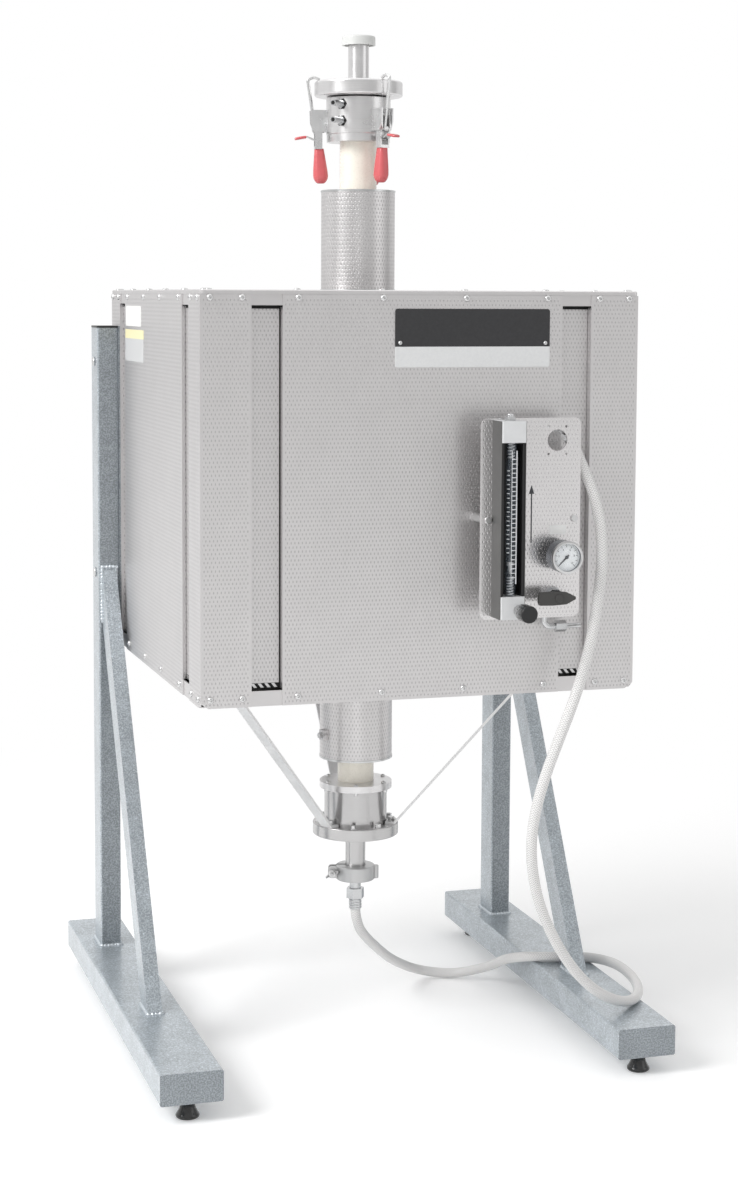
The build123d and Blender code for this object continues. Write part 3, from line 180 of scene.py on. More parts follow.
class Finish(Nodes):
    """A material being made: its Principled shader and what feeds it."""

    def __init__(self, name, colour, **sockets):
        self.material = bpy.data.materials.new(name + "_finish")
        self.material.use_nodes = True
        super().__init__(self.material.node_tree)
        self.shader = self.tree.nodes["Principled BSDF"]
        self.set(Base_Color=colour, **sockets)

    def set(self, **sockets):
        for name, value in sockets.items():
            self.feed(self.shader.inputs[name.replace("_", " ")], value)

    def place(self):
        """Millimetres to the right of, behind and above the work tube's foot."""
        spot = self.node("ShaderNodeTexCoord", output="Object")
        x, y, z = self.node("ShaderNodeSeparateXYZ", inputs={0: spot}, output=(0, 1, 2))
        return x / MM, (y - AXIS_Y) / MM, z / MM

    def around(self, x, y, radius):
        """Millimetres round a cylinder on the tube's axis."""
        return x.maths("ARCTAN2", y, x) * radius

    def facing(self):
        """How far the surface faces X, Y and Z, from 0 to 1."""
        normal = self.node("ShaderNodeTexCoord", output="Normal")
        parts = self.node("ShaderNodeSeparateXYZ", inputs={0: normal}, output=(0, 1, 2))
        return [abs(part) for part in parts]

    def noise(self, cell, detail=2.0, stretch=(1, 1, 1)):
        """Soft mottling with cells of about the given size in millimetres."""
        spot = self.node("ShaderNodeTexCoord", output="Object")
        spot = self.node("ShaderNodeMapping", inputs={"Vector": spot, "Scale": stretch})
        return self.node("ShaderNodeTexNoise", inputs={"Vector": spot, "Scale": 1 / (cell * MM), "Detail": detail})

    def relief(self, height, depth):
        """Bumps from a height of 0 to 1 and a depth in millimetres."""
        self.set(Normal=self.node("ShaderNodeBump",
                                  inputs={"Strength": 1.0, "Height": height, "Distance": depth * MM}))


# ------------------------------------------------------------------ plain finishes
EVEN = (1, 1, 1)
METALS = {
    # display colour, roughness, grain in mm, stretch of the grain, relief in mm, metallic
    "hidden_sheet": ((150, 150, 149), 0.4),
    "sleeve_steel": ((212, 213, 213), 0.3, 1.5, (1, 1, 0.2)),
    "head_steel": ((228, 227, 227), 0.3, 1.2, (0.03, 0.03, 1), 0.01, 0.9),
    # the heads' steel in a darker copy: painted shade on the lower head
    "low_head_steel": ((196, 195, 195), 0.24, 1.2, (0.03, 0.03, 1), 0.01, 0.95),
    # paler steel: painted light from the floor below on the flange straps
    "strap_steel": ((236, 236, 236), 0.5, 2.0, (1, 1, 0.2), 0.02, 0.5),
    "latch_steel": ((226, 226, 226), 0.28, 3.0, (1, 1, 0.1), 0.01, 0.9),
    "bolt_steel": ((216, 216, 216), 0.3, 0.8),
    "fitting_metal": ((205, 206, 207), 0.24, 1.0),
    "valve_metal": ((200, 201, 203), 0.2, 1.0),
    "gauge_metal": ((112, 116, 122), 0.25, 1.5),
    "knob_metal": ((200, 200, 200), 0.28, 0.8, (1, 0.1, 1)),
    "float_metal": ((225, 225, 225), 0.2, 1.0, EVEN, 0.02, 0.3),
    "clamp_aluminium": ((200, 200, 200), 0.4, 0.7, EVEN, 0.06),
    "channel_metal": ((100, 100, 99), 0.35, 2.2, EVEN, 0.05, 0.7),
    "weld_metal": ((200, 207, 212), 0.3, 1.6, EVEN, 0.1, 0.6),
}
MOULDINGS = {
    # display colour or the name of a property, roughness, grain in mm, relief in mm, gloss coat
    "black_plastic": ((27, 27, 28), 0.35, 0.8, 0.05),
    "foot_rubber": ((22, 22, 22), 0.22, 1.5, 0.02, 0.4),
    "lever_black": ((62, 61, 60), 0.5, 1.4, 0.18),
    "grip_vinyl": ("grips", 0.35, 2.0, 0.03, 0.2),
    "seal_rubber": ((38, 38, 39), 0.55),
    "cap_plastic": ((216, 217, 215), 0.35, 3.0, 0.02),
    "ceramic": ("ceramic", 0.28, 2.0, 0.015, 0.3),
    "meter_body": ((216, 217, 218), 0.3, 1.0, 0.01),
    "insulation": ((238, 235, 226), 0.9, 1.5, 0.3),
    "heater": ((110, 105, 102), 0.6),
    "needle_paint": ((28, 28, 28), 0.4),
    "mark_paint": ((58, 60, 64), 0.5),
    "mark_white": ((236, 238, 240), 0.4),
    "shadow_black": ((16, 16, 17), 0.8),
    "dial_face": ((244, 247, 250), 0.45),
    "label_grey": ((246, 246, 245), 0.4),
}
MAKERS = {}
MADE = {}


def finish(name):
    """The material of that name, made when it is first asked for."""
    if name not in MADE:
        if name in METALS:
            colour, *rest = METALS[name]
            MADE[name] = metal(name, tone(*colour), *rest)
        elif name in MOULDINGS:
            colour, *rest = MOULDINGS[name]
            chosen = bpy.context.scene.furnace_colours
            MADE[name] = moulded(name, getattr(chosen, colour) if isinstance(colour, str) else tone(*colour), *rest)
        else:
            MADE[name] = MAKERS[name](name)
    return MADE[name]


def maker(function):
    """Lists a function as the maker of the finish of its name."""
    MAKERS[function.__name__] = function
    return function


def shades(colour, low, high=1.0):
    """The same colour darkened and lightened."""
    return tuple(part * low for part in colour), tuple(min(1.0, part * high) for part in colour)


def metal(name, colour, roughness, cell=2.5, stretch=EVEN, depth=0.02, metallic=1.0):
    """A metal with fine drawn or turned lines and faint mottling."""
    made = Finish(name, colour, Metallic=metallic, Roughness=roughness)
    lines = made.noise(cell, 3, stretch)
    mottle = made.noise(30, 2)
    dark, light = shades(colour, 0.84, 1.08)
    made.set(Base_Color=made.mix(lines * 0.5 + mottle * 0.5, dark, light),
             Roughness=roughness * 0.75 + mottle * (roughness * 0.5))
    made.relief(lines, depth)
    return made.material


def moulded(name, colour, roughness, cell=1.0, depth=0.03, coat=0.0):
    """Plastic, rubber, ceramic or paint with a fine grain and faint mottling."""
    made = Finish(name, colour, Roughness=roughness, Coat_Weight=coat)
    grain = made.noise(cell, 2)
    dark, light = shades(colour, 0.9, 1.08)
    made.set(Base_Color=made.mix(made.noise(20, 2), dark, light),
             Roughness=roughness * 0.85 + grain * (roughness * 0.3))
    made.relief(grain, depth)
    return made.material


# ------------------------------------------------------------------ drawn finishes
ROW_PITCH = 2.23      # between rows of dimples, in pitches along a row
SLOT_WIDTH = 39.0


def sheet(name, roughness=0.36):
    """Stainless sheet, before its dimples."""
    return Finish(name, bpy.context.scene.furnace_colours.sheet, Metallic=0.85, Roughness=roughness)


def dimpled(made, u, v, edge, depth=0.3, shade=0.7, lift=1.0):
    """Staggered oval dimples over two directions, kept off the edges, with painted shade in each dent."""
    pitch = bpy.context.scene.furnace_sizes.dimple_pitch / MM
    dots = (u.wave(pitch) * v.wave(ROW_PITCH * pitch)).ramp(0.35, 0.9) * edge
    colour = shades(bpy.context.scene.furnace_colours.sheet, 1, lift)[1]
    dark, light = shades(colour, shade, 1.04)
    plain = made.mix(made.noise(45, 2), shades(colour, 0.96)[0], light)
    # Painted shade: each dimple is darker in colour as well as sunk by the bump.
    made.set(Base_Color=made.mix(dots, plain, dark))
    made.relief(1 - dots, depth)
    return made.material


@maker
def dimpled_panel(name):
    """Dimpled sheet of the housing's panels, smooth along their edges."""
    made = sheet(name)
    x, y, z = made.place()
    sideways = made.facing()[0] > 0.7
    low, panel, corner = span("front_panel")[0].z, span("front_panel")[1].x, span("corner_panels")[1]
    gaps = []
    for across, start, end in ((abs(x), panel, corner.x), (abs(y), panel + corner.y - corner.x, corner.y)):
        gap = abs(across - start)
        for limit in (start + SLOT_WIDTH, end):
            gap = gap.at_most(abs(across - limit))
        gaps.append(gap)
    near = gaps[0] + (gaps[1] - gaps[0]) * sideways
    edge = near.ramp(2.2, 3.4) * (z - low).ramp(3.0, 4.2) * (span("top_cover")[1].z - z).ramp(8.0, 9.2)
    return dimpled(made, x + (y - x) * sideways, z, edge)


@maker
def slot_sheet(name):
    """Dimpled sheet at the bottom of the slots."""
    made = sheet(name)
    x, y, z = made.place()
    return dimpled(made, x + (y - x) * (made.facing()[0] > 0.7), z, 1.0)


@maker
def dimpled_cover(name):
    """The top cover: smooth bands, dimples on its upper face."""
    made = sheet(name)
    x, y, z = made.place()
    half = span("top_cover")[1]
    edge = (half.x - abs(x)).ramp(16, 17) * (half.y - abs(y)).ramp(16, 17) * (made.facing()[2] > 0.9)
    return dimpled(made, x, y, edge)


@maker
def dimpled_sleeve(name):
    """Dimpled sheet rolled round the tube, smooth along both ends."""
    made = sheet(name, 0.32)
    x, y, z = made.place()
    low, top = span("lower_sleeve")[0].z, span("upper_sleeve")[1]
    edge = (z - low).ramp(4, 5) * (top.z - z).ramp(4, 5) * (1 - (made.facing()[2] > 0.8))
    return dimpled(made, made.around(x, y, top.x), z, edge)


@maker
def plate_steel(name):
    """The gas panel's dimpled plate, smooth round its rim."""
    made = sheet(name, 0.24)
    x, y, z = made.place()
    low, high = span("gas_panel_plate")
    edge = (x - low.x).ramp(2, 3) * (high.x - x).ramp(2, 3) * (z - low.z).ramp(2, 3) * (high.z - z).ramp(2, 3)
    return dimpled(made, x, z, edge, 0.12, 0.8, 1.15)


@maker
def stand_paint(name):
    """Blue-grey metallic paint with pale and dark specks, and painted shade on the faces towards front and rear."""
    colour = bpy.context.scene.furnace_colours.stand
    made = Finish(name, colour, Metallic=0.45, Roughness=0.36, Coat_Weight=0.5, Coat_Roughness=0.16)
    specks = made.noise(2.0, 1)
    cloud = made.noise(28, 3)
    dark, light = shades(colour, 0.66, 1.16)
    base = made.mix(cloud.ramp(0.3, 0.7) * 0.3 + specks.ramp(0.36, 0.64) * 0.7, dark, light)
    base = made.mix(specks.ramp(0.66, 0.74), base, shades(colour, 1.0, 1.5)[1])
    # Painted shade: the faces towards front and rear take a darker copy of the paint.
    painted_end_shade = made.mix(specks.ramp(0.4, 0.6), *shades(colour, 0.36, 0.56))
    made.set(Base_Color=made.mix(made.facing()[1].ramp(0.8, 0.98) * 0.7, base, painted_end_shade))
    made.relief(specks, 0.03)
    return made.material


@maker
def meter_glass(name):
    """Blue-grey glass, clear enough to show the float, with painted reflections in vertical streaks."""
    made = Finish(name, tone(92, 102, 112), Roughness=0.05, Alpha=0.15, Coat_Weight=1.0, Coat_Roughness=0.03)
    # Painted reflections: vertical streaks of lighter and darker colour.
    reflection_streaks = made.noise(6, 2, (1, 1, 0.1))
    made.set(Base_Color=made.mix(reflection_streaks, tone(70, 80, 92), tone(128, 138, 148)))
    return made.material


@maker
def clear_glass(name):
    """Clear glass with the faintest haze."""
    made = Finish(name, tone(230, 236, 240), Roughness=0.03, Alpha=0.14, Coat_Weight=1.0, Coat_Roughness=0.02)
    made.set(Alpha=0.03 + made.noise(12, 1) * 0.04)
    return made.material


# Heights at which the colours of the signs change, in mm above the work tube's foot.
SIGN_BAND, LABEL_BAND, LABEL_GAP = 949.5, 952, 966


@maker
def sign_paint(name):
    """A bare sign: black above, pale grey below."""
    made = Finish(name, tone(40, 40, 42), Roughness=0.32, Coat_Weight=0.3)
    height = made.place()[2]
    grain = made.noise(3, 2)
    upper = made.mix(grain, tone(36, 36, 38), tone(50, 50, 52))
    lower = made.mix(grain, tone(214, 215, 216), tone(226, 227, 227))
    made.set(Base_Color=made.mix(height > SIGN_BAND, lower, upper))
    made.relief(grain, 0.02)
    return made.material


@maker
def side_label(name):
    """Bare labels: pale, the lower one yellow above and grey below."""
    made = Finish(name, tone(230, 230, 226), Roughness=0.4)
    height = made.place()[2]
    grain = made.noise(4, 2)
    lower = made.mix(height > LABEL_BAND, tone(196, 197, 198), tone(236, 228, 178))
    pale = made.mix(height > LABEL_GAP, lower, tone(232, 232, 230))
    made.set(Base_Color=made.mix(grain * 0.2, pale, tone(200, 200, 196)))
    made.relief(grain, 0.02)
    return made.material


@maker
def hose_braid(name):
    """Pale plastic hose with a fine herringbone braid under its skin."""
    colour = bpy.context.scene.furnace_colours.hose
    made = Finish(name, colour, Roughness=0.3, Coat_Weight=0.4, Coat_Roughness=0.15)
    spot = made.node("ShaderNodeUVMap", {"uv_map": "braid"})
    turns, along = made.node("ShaderNodeSeparateXYZ", inputs={0: spot}, output=(0, 1))
    zigzag = abs((turns * 8) % 1.0 - 0.5)
    strands = (along / MM + zigzag * 7.0).wave(3.4) * 0.5 + 0.5
    columns = abs(zigzag - 0.25).ramp(0.17, 0.25)
    weave = strands.ramp(0.25, 0.8) * (1 - columns * 0.6)
    dark, light = shades(colour, 0.68, 1.12)
    made.set(Base_Color=made.mix(weave, dark, light))
    made.relief(weave, 0.25)
    return made.material


# ------------------------------------------------------------------ mesh pieces
def facing(point, outward, up=(0, 0, 1)):
    """A place at a point: its Z leaves the surface and its Y leans up."""
    out = Vector(outward).normalized()
    upward = (Vector(up) - out * out.dot(Vector(up))).normalized()
    return Matrix.Translation(point) @ Matrix((upward.cross(out), upward, out)).transposed().to_4x4()


def polar(radius, angle, height=0.0):
    """A point on a cylinder about the tube's axis, at an angle in degrees."""
    return Vector((radius * cos(radians(angle)), radius * sin(radians(angle)), height))


def on_side(radius, angle, height):
    """A place on such a cylinder, facing outward."""
    return facing(polar(radius, angle, height), polar(1, angle))


class Shape:
    """A piece drawn in millimetres from the work tube's foot."""

    def __init__(self):
        self.mesh = bmesh.new()

    def ring(self, points):
        return [self.mesh.verts.new(point) for point in points]

    def skin(self, rings, closed=True):
        """Faces between rings of equal count; a ring of one vertex makes a tip."""
        for low, high in zip(rings, rings[1:]):
            count = max(len(low), len(high))
            for index in range(count if closed else count - 1):
                after = (index + 1) % count
                corners = dict.fromkeys((low[index % len(low)], low[after % len(low)],
                                         high[after % len(high)], high[index % len(high)]))
                if len(corners) > 2:
                    self.mesh.faces.new(list(corners))
        return self

    def cap(self, rings):
        """Closes both ends of a run of rings."""
        self.mesh.faces.new(rings[0][::-1])
        self.mesh.faces.new(rings[-1])
        return self

    def turned(self, profile, place=Matrix(), steps=24):
        """Turns pairs of radius and height about the place's Z."""
        rings = []
        for radius, height in profile:
            angles = [2 * pi * index / steps for index in range(steps if radius > 1e-6 else 1)]
            rings.append(self.ring(place @ Vector((radius * cos(a), radius * sin(a), height)) for a in angles))
        return self.skin(rings)

    def prism(self, outline, low, high, place=Matrix()):
        """A flat outline between two heights along the place's Z."""
        rings = [self.ring(place @ Vector((x, y, height)) for x, y in outline) for height in (low, high)]
        return self.skin(rings).cap(rings)

    def bent(self, radius, angles, heights, thick):
        """A strip on a cylinder, between two angles in degrees and two heights."""
        steps = max(2, int(abs(angles[1] - angles[0]) / 4))
        rings = []
        for index in range(steps + 1):
            angle = angles[0] + (angles[1] - angles[0]) * index / steps
            rings.append(self.ring(polar(r, angle, z) for r, z in
                                   ((radius, heights[0]), (radius + thick, heights[0]),
                                    (radius + thick, heights[1]), (radius, heights[1]))))
        return self.skin(rings).cap(rings)

    def rod(self, points, radius, sides=10, closed=False):
        """A round bar along points; the radius may be one number or one for each point."""
        points = [Vector(point) for point in points]
        radii = radius if hasattr(radius, "__len__") else [radius] * len(points)
        rings = []
        across = None
        for index, point in enumerate(points):
            before = points[index - 1] if index or closed else point
            after = points[(index + 1) % len(points)] if index + 1 < len(points) or closed else point
            along = (after - before).normalized()
            if across is None:
                across = along.orthogonal().normalized()
            across = (across - along * along.dot(across)).normalized()
            other = along.cross(across)
            rings.append(self.ring(point + (across * cos(a) + other * sin(a)) * radii[index]
                                   for a in (2 * pi * side / sides for side in range(sides))))
        self.skin(rings + rings[:1] if closed else rings)
        return self if closed else self.cap(rings)

    def made(self, name, material, body="base", slot=None, bevel=0.0, angle=35):
        """The finished piece, riding on its body; the slot argument is not used."""
        bmesh.ops.recalc_face_normals(self.mesh, faces=self.mesh.faces)
        self.mesh.transform(Matrix.Scale(MM, 4) @ Matrix.Translation(ORIGIN))
        mesh = bpy.data.meshes.new(name)
        self.mesh.to_mesh(mesh)
        self.mesh.free()
        mesh.materials.append(finish(material))
        smooth(mesh, angle)
        piece = bpy.data.objects.new(name, mesh)
        bpy.context.scene.collection.objects.link(piece)
        if bevel:
            edge = piece.modifiers.new("rounded_edges", "BEVEL")
            edge.width, edge.segments, edge.limit_method = bevel * MM, 2, "ANGLE"
        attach(piece, body)
        return piece


def smooth(mesh, angle):
    """Smooth shading with sharp edges over an angle in degrees."""
    mesh.polygons.foreach_set("use_smooth", [True] * len(mesh.polygons))
    mesh.set_sharp_from_angle(angle=radians(angle))


def hexagon(across):
    """The corners of a hexagon of a width across its flats."""
    corner = across / 3 ** 0.5
    return [(corner * cos(radians(60 * index)), corner * sin(radians(60 * index))) for index in range(6)]


def rounded(x0, x1, y0, y1, radius, steps=4):
    """The outline of a rectangle with round corners."""
    outline = []
    for quarter, (x, y) in enumerate(((x1 - radius, y1 - radius), (x0 + radius, y1 - radius),
                                      (x0 + radius, y0 + radius), (x1 - radius, y0 + radius))):
        for index in range(steps + 1):
            a = pi / 2 * (quarter + index / steps)
            outline.append((x + radius * cos(a), y + radius * sin(a)))
    return outline


def dome_screw(shape, place, radius, height=2.8):
    """A dome head with a socket."""
    socket = radius * 0.36
    profile = [(radius, -0.2), (radius, 0.12 * height), (0.93 * radius, 0.5 * height),
               (0.72 * radius, 0.83 * height), (1.15 * socket, height), (socket, height),
               (0.9 * socket, 0.4 * height), (0, 0.4 * height)]
    return shape.turned(profile, place, 16)


def hex_bolt(shape, place, across, height):
    """A hexagon head on a thin washer."""
    shape.turned([(0, 0), (0.62 * across, 0), (0.62 * across, 0.8), (0.3 * across, 0.8)], place, 20)
    return shape.prism(hexagon(across), 0.7, height, place)


# ------------------------------------------------------------------ properties
def paint(name, description, *display):
    return FloatVectorProperty(name=name, description=description, subtype="COLOR", min=0, max=1,
                               default=tone(*display))


def length(name, description, default, low, high):
    return FloatProperty(name=name, description=description, unit="LENGTH", default=default, min=low, max=high)


def power(name, description, default):
    return FloatProperty(name=name, description=description, unit="POWER", default=default, min=0)


class FurnaceColours(bpy.types.PropertyGroup):
    sheet: paint("Sheet", "Dimpled sheet of the housing and sleeves", 212, 210, 210)
    stand: paint("Stand", "Metallic paint of the stand", 178, 186, 192)
    grips: paint("Grips", "Vinyl of the latch grips", 212, 98, 102)
    ceramic: paint("Ceramic", "The work tube", 247, 242, 230)
    hose: paint("Hose", "The braided gas hose", 240, 239, 238)


class FurnaceSizes(bpy.types.PropertyGroup):
    dimple_pitch: length("Dimple pitch", "Distance between dimples along a row", 0.00475, 0.002, 0.02)
    screw_radius: length("Screw radius", "Radius of the housing's dome screws", 0.0043, 0.002, 0.01)
    bead_radius: length("Weld bead", "Radius of the stand's weld beads", 0.0034, 0.001, 0.006)
    sign_thickness: length("Sign thickness", "Thickness of the bare signs", 0.001, 0.0002, 0.004)


class FurnaceStage(bpy.types.PropertyGroup):
    lens: FloatProperty(name="Lens", description="The camera's focal length in millimetres", default=66.83, min=10)
    key: power("Key light", "Power of the large light on the left", 110.0)
    fill: power("Fill light", "Power of the weak light on the right", 8.0)
    low: power("Low light", "Power of the light near the floor in front", 4.0)
    sky: FloatProperty(name="Sky", description="Level of the soft light from all round", default=0.58, min=0)


class Making(bpy.types.Operator):
    """One group of the furnace's pieces"""
    bl_idname = "furnace.making"
    bl_label = "Make"

    def execute(self, context):
        self.make(context.scene)
        return {"FINISHED"}


# ------------------------------------------------------------------ stage and hose
CAMERA_SPOT = (-0.8594, -2.85565, 1.00935)
CAMERA_YAW, CAMERA_PITCH, CAMERA_ROLL = radians(16.64), radians(-5.21), radians(0.24)
CAMERA_SHIFT = (0.01092, -0.07854)
# name, place and width of each lamp, and the property with its power
LAMPS = (("key_light", (-3.4, -1.0, 3.2), 2.2, "key"), ("fill_light", (3.2, -2.6, 1.8), 2.2, "fill"),
         ("low_light", (-0.9, -3.4, 0.35), 1.4, "low"))
LIT_SPOT = (0, 0, 0.75)
FLOOR_HALF, FLOOR_DROP = 14.0, -0.0003
WHITE, BLACK = (1, 1, 1), (0, 0, 0)


class FURNACE_OT_stage(Making):
    """Camera, soft light and a pale floor"""
    bl_idname = "furnace.stage"
    bl_label = "Stage"

    def make(self, scene):
        scene.view_settings.view_transform = "Standard"
        self.camera(scene)
        self.sky(scene)
        self.floor(scene)
        for name, spot, size, setting in LAMPS:
            self.lamp(scene, name, spot, size, getattr(scene.furnace_stage, setting))

    def camera(self, scene):
        camera = bpy.data.objects.new("camera", bpy.data.cameras.new("camera"))
        scene.collection.objects.link(camera)
        camera.data.lens = scene.furnace_stage.lens
        camera.data.shift_x, camera.data.shift_y = CAMERA_SHIFT
        camera.data.clip_start, camera.data.clip_end = 0.1, 60
        yaw, pitch, roll = CAMERA_YAW, CAMERA_PITCH, CAMERA_ROLL
        ahead = Vector((sin(yaw) * cos(pitch), cos(yaw) * cos(pitch), sin(pitch)))
        level = Vector((cos(yaw), -sin(yaw), 0))
        upright = level.cross(ahead)
        right = level * cos(roll) + upright * sin(roll)
        up = upright * cos(roll) - level * sin(roll)
        turn = Matrix((right, up, -ahead)).transposed().to_4x4()
        camera.matrix_world = Matrix.Translation(CAMERA_SPOT) @ turn
        scene.camera = camera

    def sky(self, scene):
        world = bpy.data.worlds.new("studio")
        world.use_nodes = True
        scene.world = world
        nodes = Nodes(world.node_tree)
        spot = nodes.node("ShaderNodeTexCoord", output="Generated")
        x, y, z = nodes.node("ShaderNodeSeparateXYZ", inputs={0: spot}, output=(0, 1, 2))
        camera, glossy, through = nodes.node("ShaderNodeLightPath",
                                             output=("Is Camera Ray", "Is Glossy Ray", "Is Transmission Ray"))
        soft = scene.furnace_stage.sky * (0.62 + (z * 0.7 - x * 0.65 - y * 0.05).ramp(-0.8, 1.0) * 0.9)
        front = (0 - y).ramp(0.1, 0.9)
        flags = (0.24 - abs(y)).ramp(0.0, 0.14) * (0.8 - z).ramp(0.0, 0.2)
        shine = (0.78 + z.at_least(0) * 0.6 - front * 0.34) * (1 - flags * 0.55)
        seen = camera.at_least(through)
        level = seen + (1 - seen) * (glossy * shine + (1 - glossy) * soft)
        background = world.node_tree.nodes["Background"]
        nodes.feed(background.inputs["Color"], WHITE)
        nodes.feed(background.inputs["Strength"], level)

    def floor(self, scene):
        mesh = bpy.data.meshes.new("floor")
        corners = ((-1, -1), (1, -1), (1, 1), (-1, 1))
        mesh.from_pydata([(FLOOR_HALF * x, FLOOR_HALF * y, FLOOR_DROP) for x, y in corners], [], [(0, 1, 2, 3)])
        floor = bpy.data.objects.new("floor", mesh)
        scene.collection.objects.link(floor)
        made = Finish("floor_paper", (0.82, 0.82, 0.82), Roughness=0.9, Specular_IOR_Level=0.1)
        made.set(Base_Color=made.mix(made.noise(120, 2), (0.91, 0.91, 0.91), (0.93, 0.93, 0.93)))
        spot = made.node("ShaderNodeTexCoord", output="Object")
        far = made.node("ShaderNodeVectorMath", {"operation": "LENGTH"}, {0: spot}, "Value").ramp(0.8, 2.0)
        lit = made.node("ShaderNodeBsdfPrincipled", inputs={
            "Base Color": made.mix(far, (0.95, 0.95, 0.95), BLACK), "Roughness": 0.9, "Specular IOR Level": 0.0,
            "Emission Color": made.mix(far, (0.15, 0.15, 0.15), WHITE), "Emission Strength": 1.0})
        camera, glossy = made.node("ShaderNodeLightPath", output=("Is Camera Ray", "Is Glossy Ray"))
        both = made.node("ShaderNodeMixShader", inputs={
            0: camera.at_least(glossy), 1: Value(made, made.shader.outputs[0]), 2: lit})
        made.tree.links.new(both.socket, made.tree.nodes["Material Output"].inputs["Surface"])
        mesh.materials.append(made.material)

    def lamp(self, scene, name, spot, size, power):
        lamp = bpy.data.objects.new(name, bpy.data.lights.new(name, "AREA"))
        lamp.data.shape, lamp.data.size, lamp.data.energy = "DISK", size, power
        scene.collection.objects.link(lamp)
        lamp.location = spot
        lamp.rotation_mode = "QUATERNION"
        lamp.rotation_quaternion = (Vector(LIT_SPOT) - Vector(spot)).to_track_quat("-Z", "Y")


HOSE_RADIUS = 7.0
HOSE_SIDES = 20
FERRULE_LENGTH = 0.017
FERRULE_RADII = (8.0, 9.0, 9.0, 8.4, 9.0, 9.0, 8.4, 9.0, 9.0, 8.4, 9.0, 8.8, 7.6)


class FURNACE_OT_hose(Making):
    """The braided gas hose with its two crimped ferrules"""
    bl_idname = "furnace.hose"
    bl_label = "Gas hose"

    def make(self, scene):
        path = self.centre_line(scene)
        hose = self.tube(path)
        ends = [self.ferrule("hose_ferrule_low", path), self.ferrule("hose_ferrule_high", path[::-1])]
        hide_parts("gas_hose")

    def centre_line(self, scene):
        """Points along a smooth line through the route."""
        curve = bpy.data.curves.new("hose_line", "CURVE")
        curve.dimensions = "3D"
        curve.resolution_u = 10
        spline = curve.splines.new("NURBS")
        spline.points.add(len(HOSE_ROUTE) - 1)
        for point, place in zip(spline.points, HOSE_ROUTE):
            point.co = (*place, 1)
        spline.order_u = 3
        spline.use_endpoint_u = True
        line = bpy.data.objects.new("hose_line", curve)
        scene.collection.objects.link(line)
        bpy.context.view_layer.update()
        mesh = bpy.data.meshes.new_from_object(line.evaluated_get(bpy.context.evaluated_depsgraph_get()))
        path = [vertex.co.copy() for vertex in mesh.vertices]
        bpy.data.objects.remove(line)
        bpy.data.meshes.remove(mesh)
        return path

    def tube(self, path):
        """The hose, with its braid laid out round and along it."""
        points = [point / MM - ORIGIN for point in path]
        hose = Shape().rod(points, HOSE_RADIUS, HOSE_SIDES).made("gas_hose_braided", "hose_braid")
        along = [0.0]
        for before, after in zip(path, path[1:]):
            along.append(along[-1] + (after - before).length)
        layer = hose.data.uv_layers.new(name="braid")
        for polygon in hose.data.polygons:
            turns = [vertex % HOSE_SIDES / HOSE_SIDES for vertex in polygon.vertices]
            wraps = max(turns) - min(turns) > 0.5
            for loop, turn in zip(polygon.loop_indices, turns):
                vertex = hose.data.loops[loop].vertex_index
                layer.data[loop].uv = (turn + (wraps and turn < 0.5), along[vertex // HOSE_SIDES])
        return hose

    def ferrule(self, name, points):
        """A crimped ferrule over the start of a run of points."""
        kept, gone = [points[0]], 0.0
        for before, after in zip(points, points[1:]):
            gone += (after - before).length
            if gone > FERRULE_LENGTH:
                break
            kept.append(after)
        first, last = (point / MM - ORIGIN for point in (kept[0], kept[-1]))
        steps = len(FERRULE_RADII) - 1
        line = [first.lerp(last, index / steps) for index in range(steps + 1)]
        return Shape().rod(line, FERRULE_RADII, 24).made(name, "fitting_metal")


# ------------------------------------------------------------------ finishes of the CAD pieces
# A finish other than the one that is named after the piece's slot.
OTHER_FINISHES = {
    "front_panel": "dimpled_panel", "rear_panel": "dimpled_panel", "side_panels": "dimpled_panel",
    "corner_panels": "dimpled_panel", "top_cover": "dimpled_cover", "bottom_frame": "dimpled_cover",
    "upper_sleeve": "dimpled_sleeve", "lower_sleeve": "dimpled_sleeve", "valve_lever": "lever_black",
    "flange_straps": "strap_steel", "lower_head_body": "low_head_steel", "lower_flange": "low_head_steel",
}


GRIP_LENGTH = 45.3      # of a latch lever, from its tip
KNOB_CAP = 9.5          # the black front of the metering knob
INLET_REACH = 103.5     # where the cable inlets start, behind the side panels' edge


class FURNACE_OT_finishes(Making):
    """Finishes of the pieces that come from the solids"""
    bl_idname = "furnace.finishes"
    bl_label = "Finishes"

    def make(self, scene):
        slots = {row["node"]: row["material_slot"] for row in frame["record"]["subparts"]}
        for name, piece in frame["nodes"].items():
            piece.data.materials.clear()
            piece.data.materials.append(finish(OTHER_FINISHES.get(name, slots[name])))
            smooth(piece.data, 30)
        grip_top = span("latch_lever_1")[0].z + GRIP_LENGTH
        for number in (1, 2, 3):
            self.second(f"latch_lever_{number}", "latch_steel", lambda spot: spot.z > grip_top)
        knob = span("metering_knob")[0].y + KNOB_CAP
        self.second("metering_knob", "black_plastic", lambda spot: spot.y < knob)
        rear = span("side_panels")[1].y + INLET_REACH
        self.second("rear_panel", "black_plastic", lambda spot: spot.y > rear)

    def second(self, node, material, inside):
        """Gives the faces inside a region a second material."""
        mesh = frame["nodes"][node].data
        mesh.materials.append(finish(material))
        for polygon in mesh.polygons:
            polygon.material_index = int(inside(polygon.center / MM - ORIGIN))


# ------------------------------------------------------------------ housing
def housing_sides():
    """Each side of the housing: its face, outward direction, and the direction along it."""
    corner = span("corner_panels")[1]
    return [(Vector(out) * reach, Vector(out), Vector(along), half) for out, reach, along, half in
            (((0, -1, 0), corner.y, (1, 0, 0), corner.x), ((0, 1, 0), corner.y, (1, 0, 0), corner.x),
             ((-1, 0, 0), corner.x, (0, 1, 0), corner.y), ((1, 0, 0), corner.x, (0, 1, 0), corner.y))]


def housing_heights():
    """The housing's foot and top."""
    return span("bottom_frame")[0].z, span("top_cover")[1].z


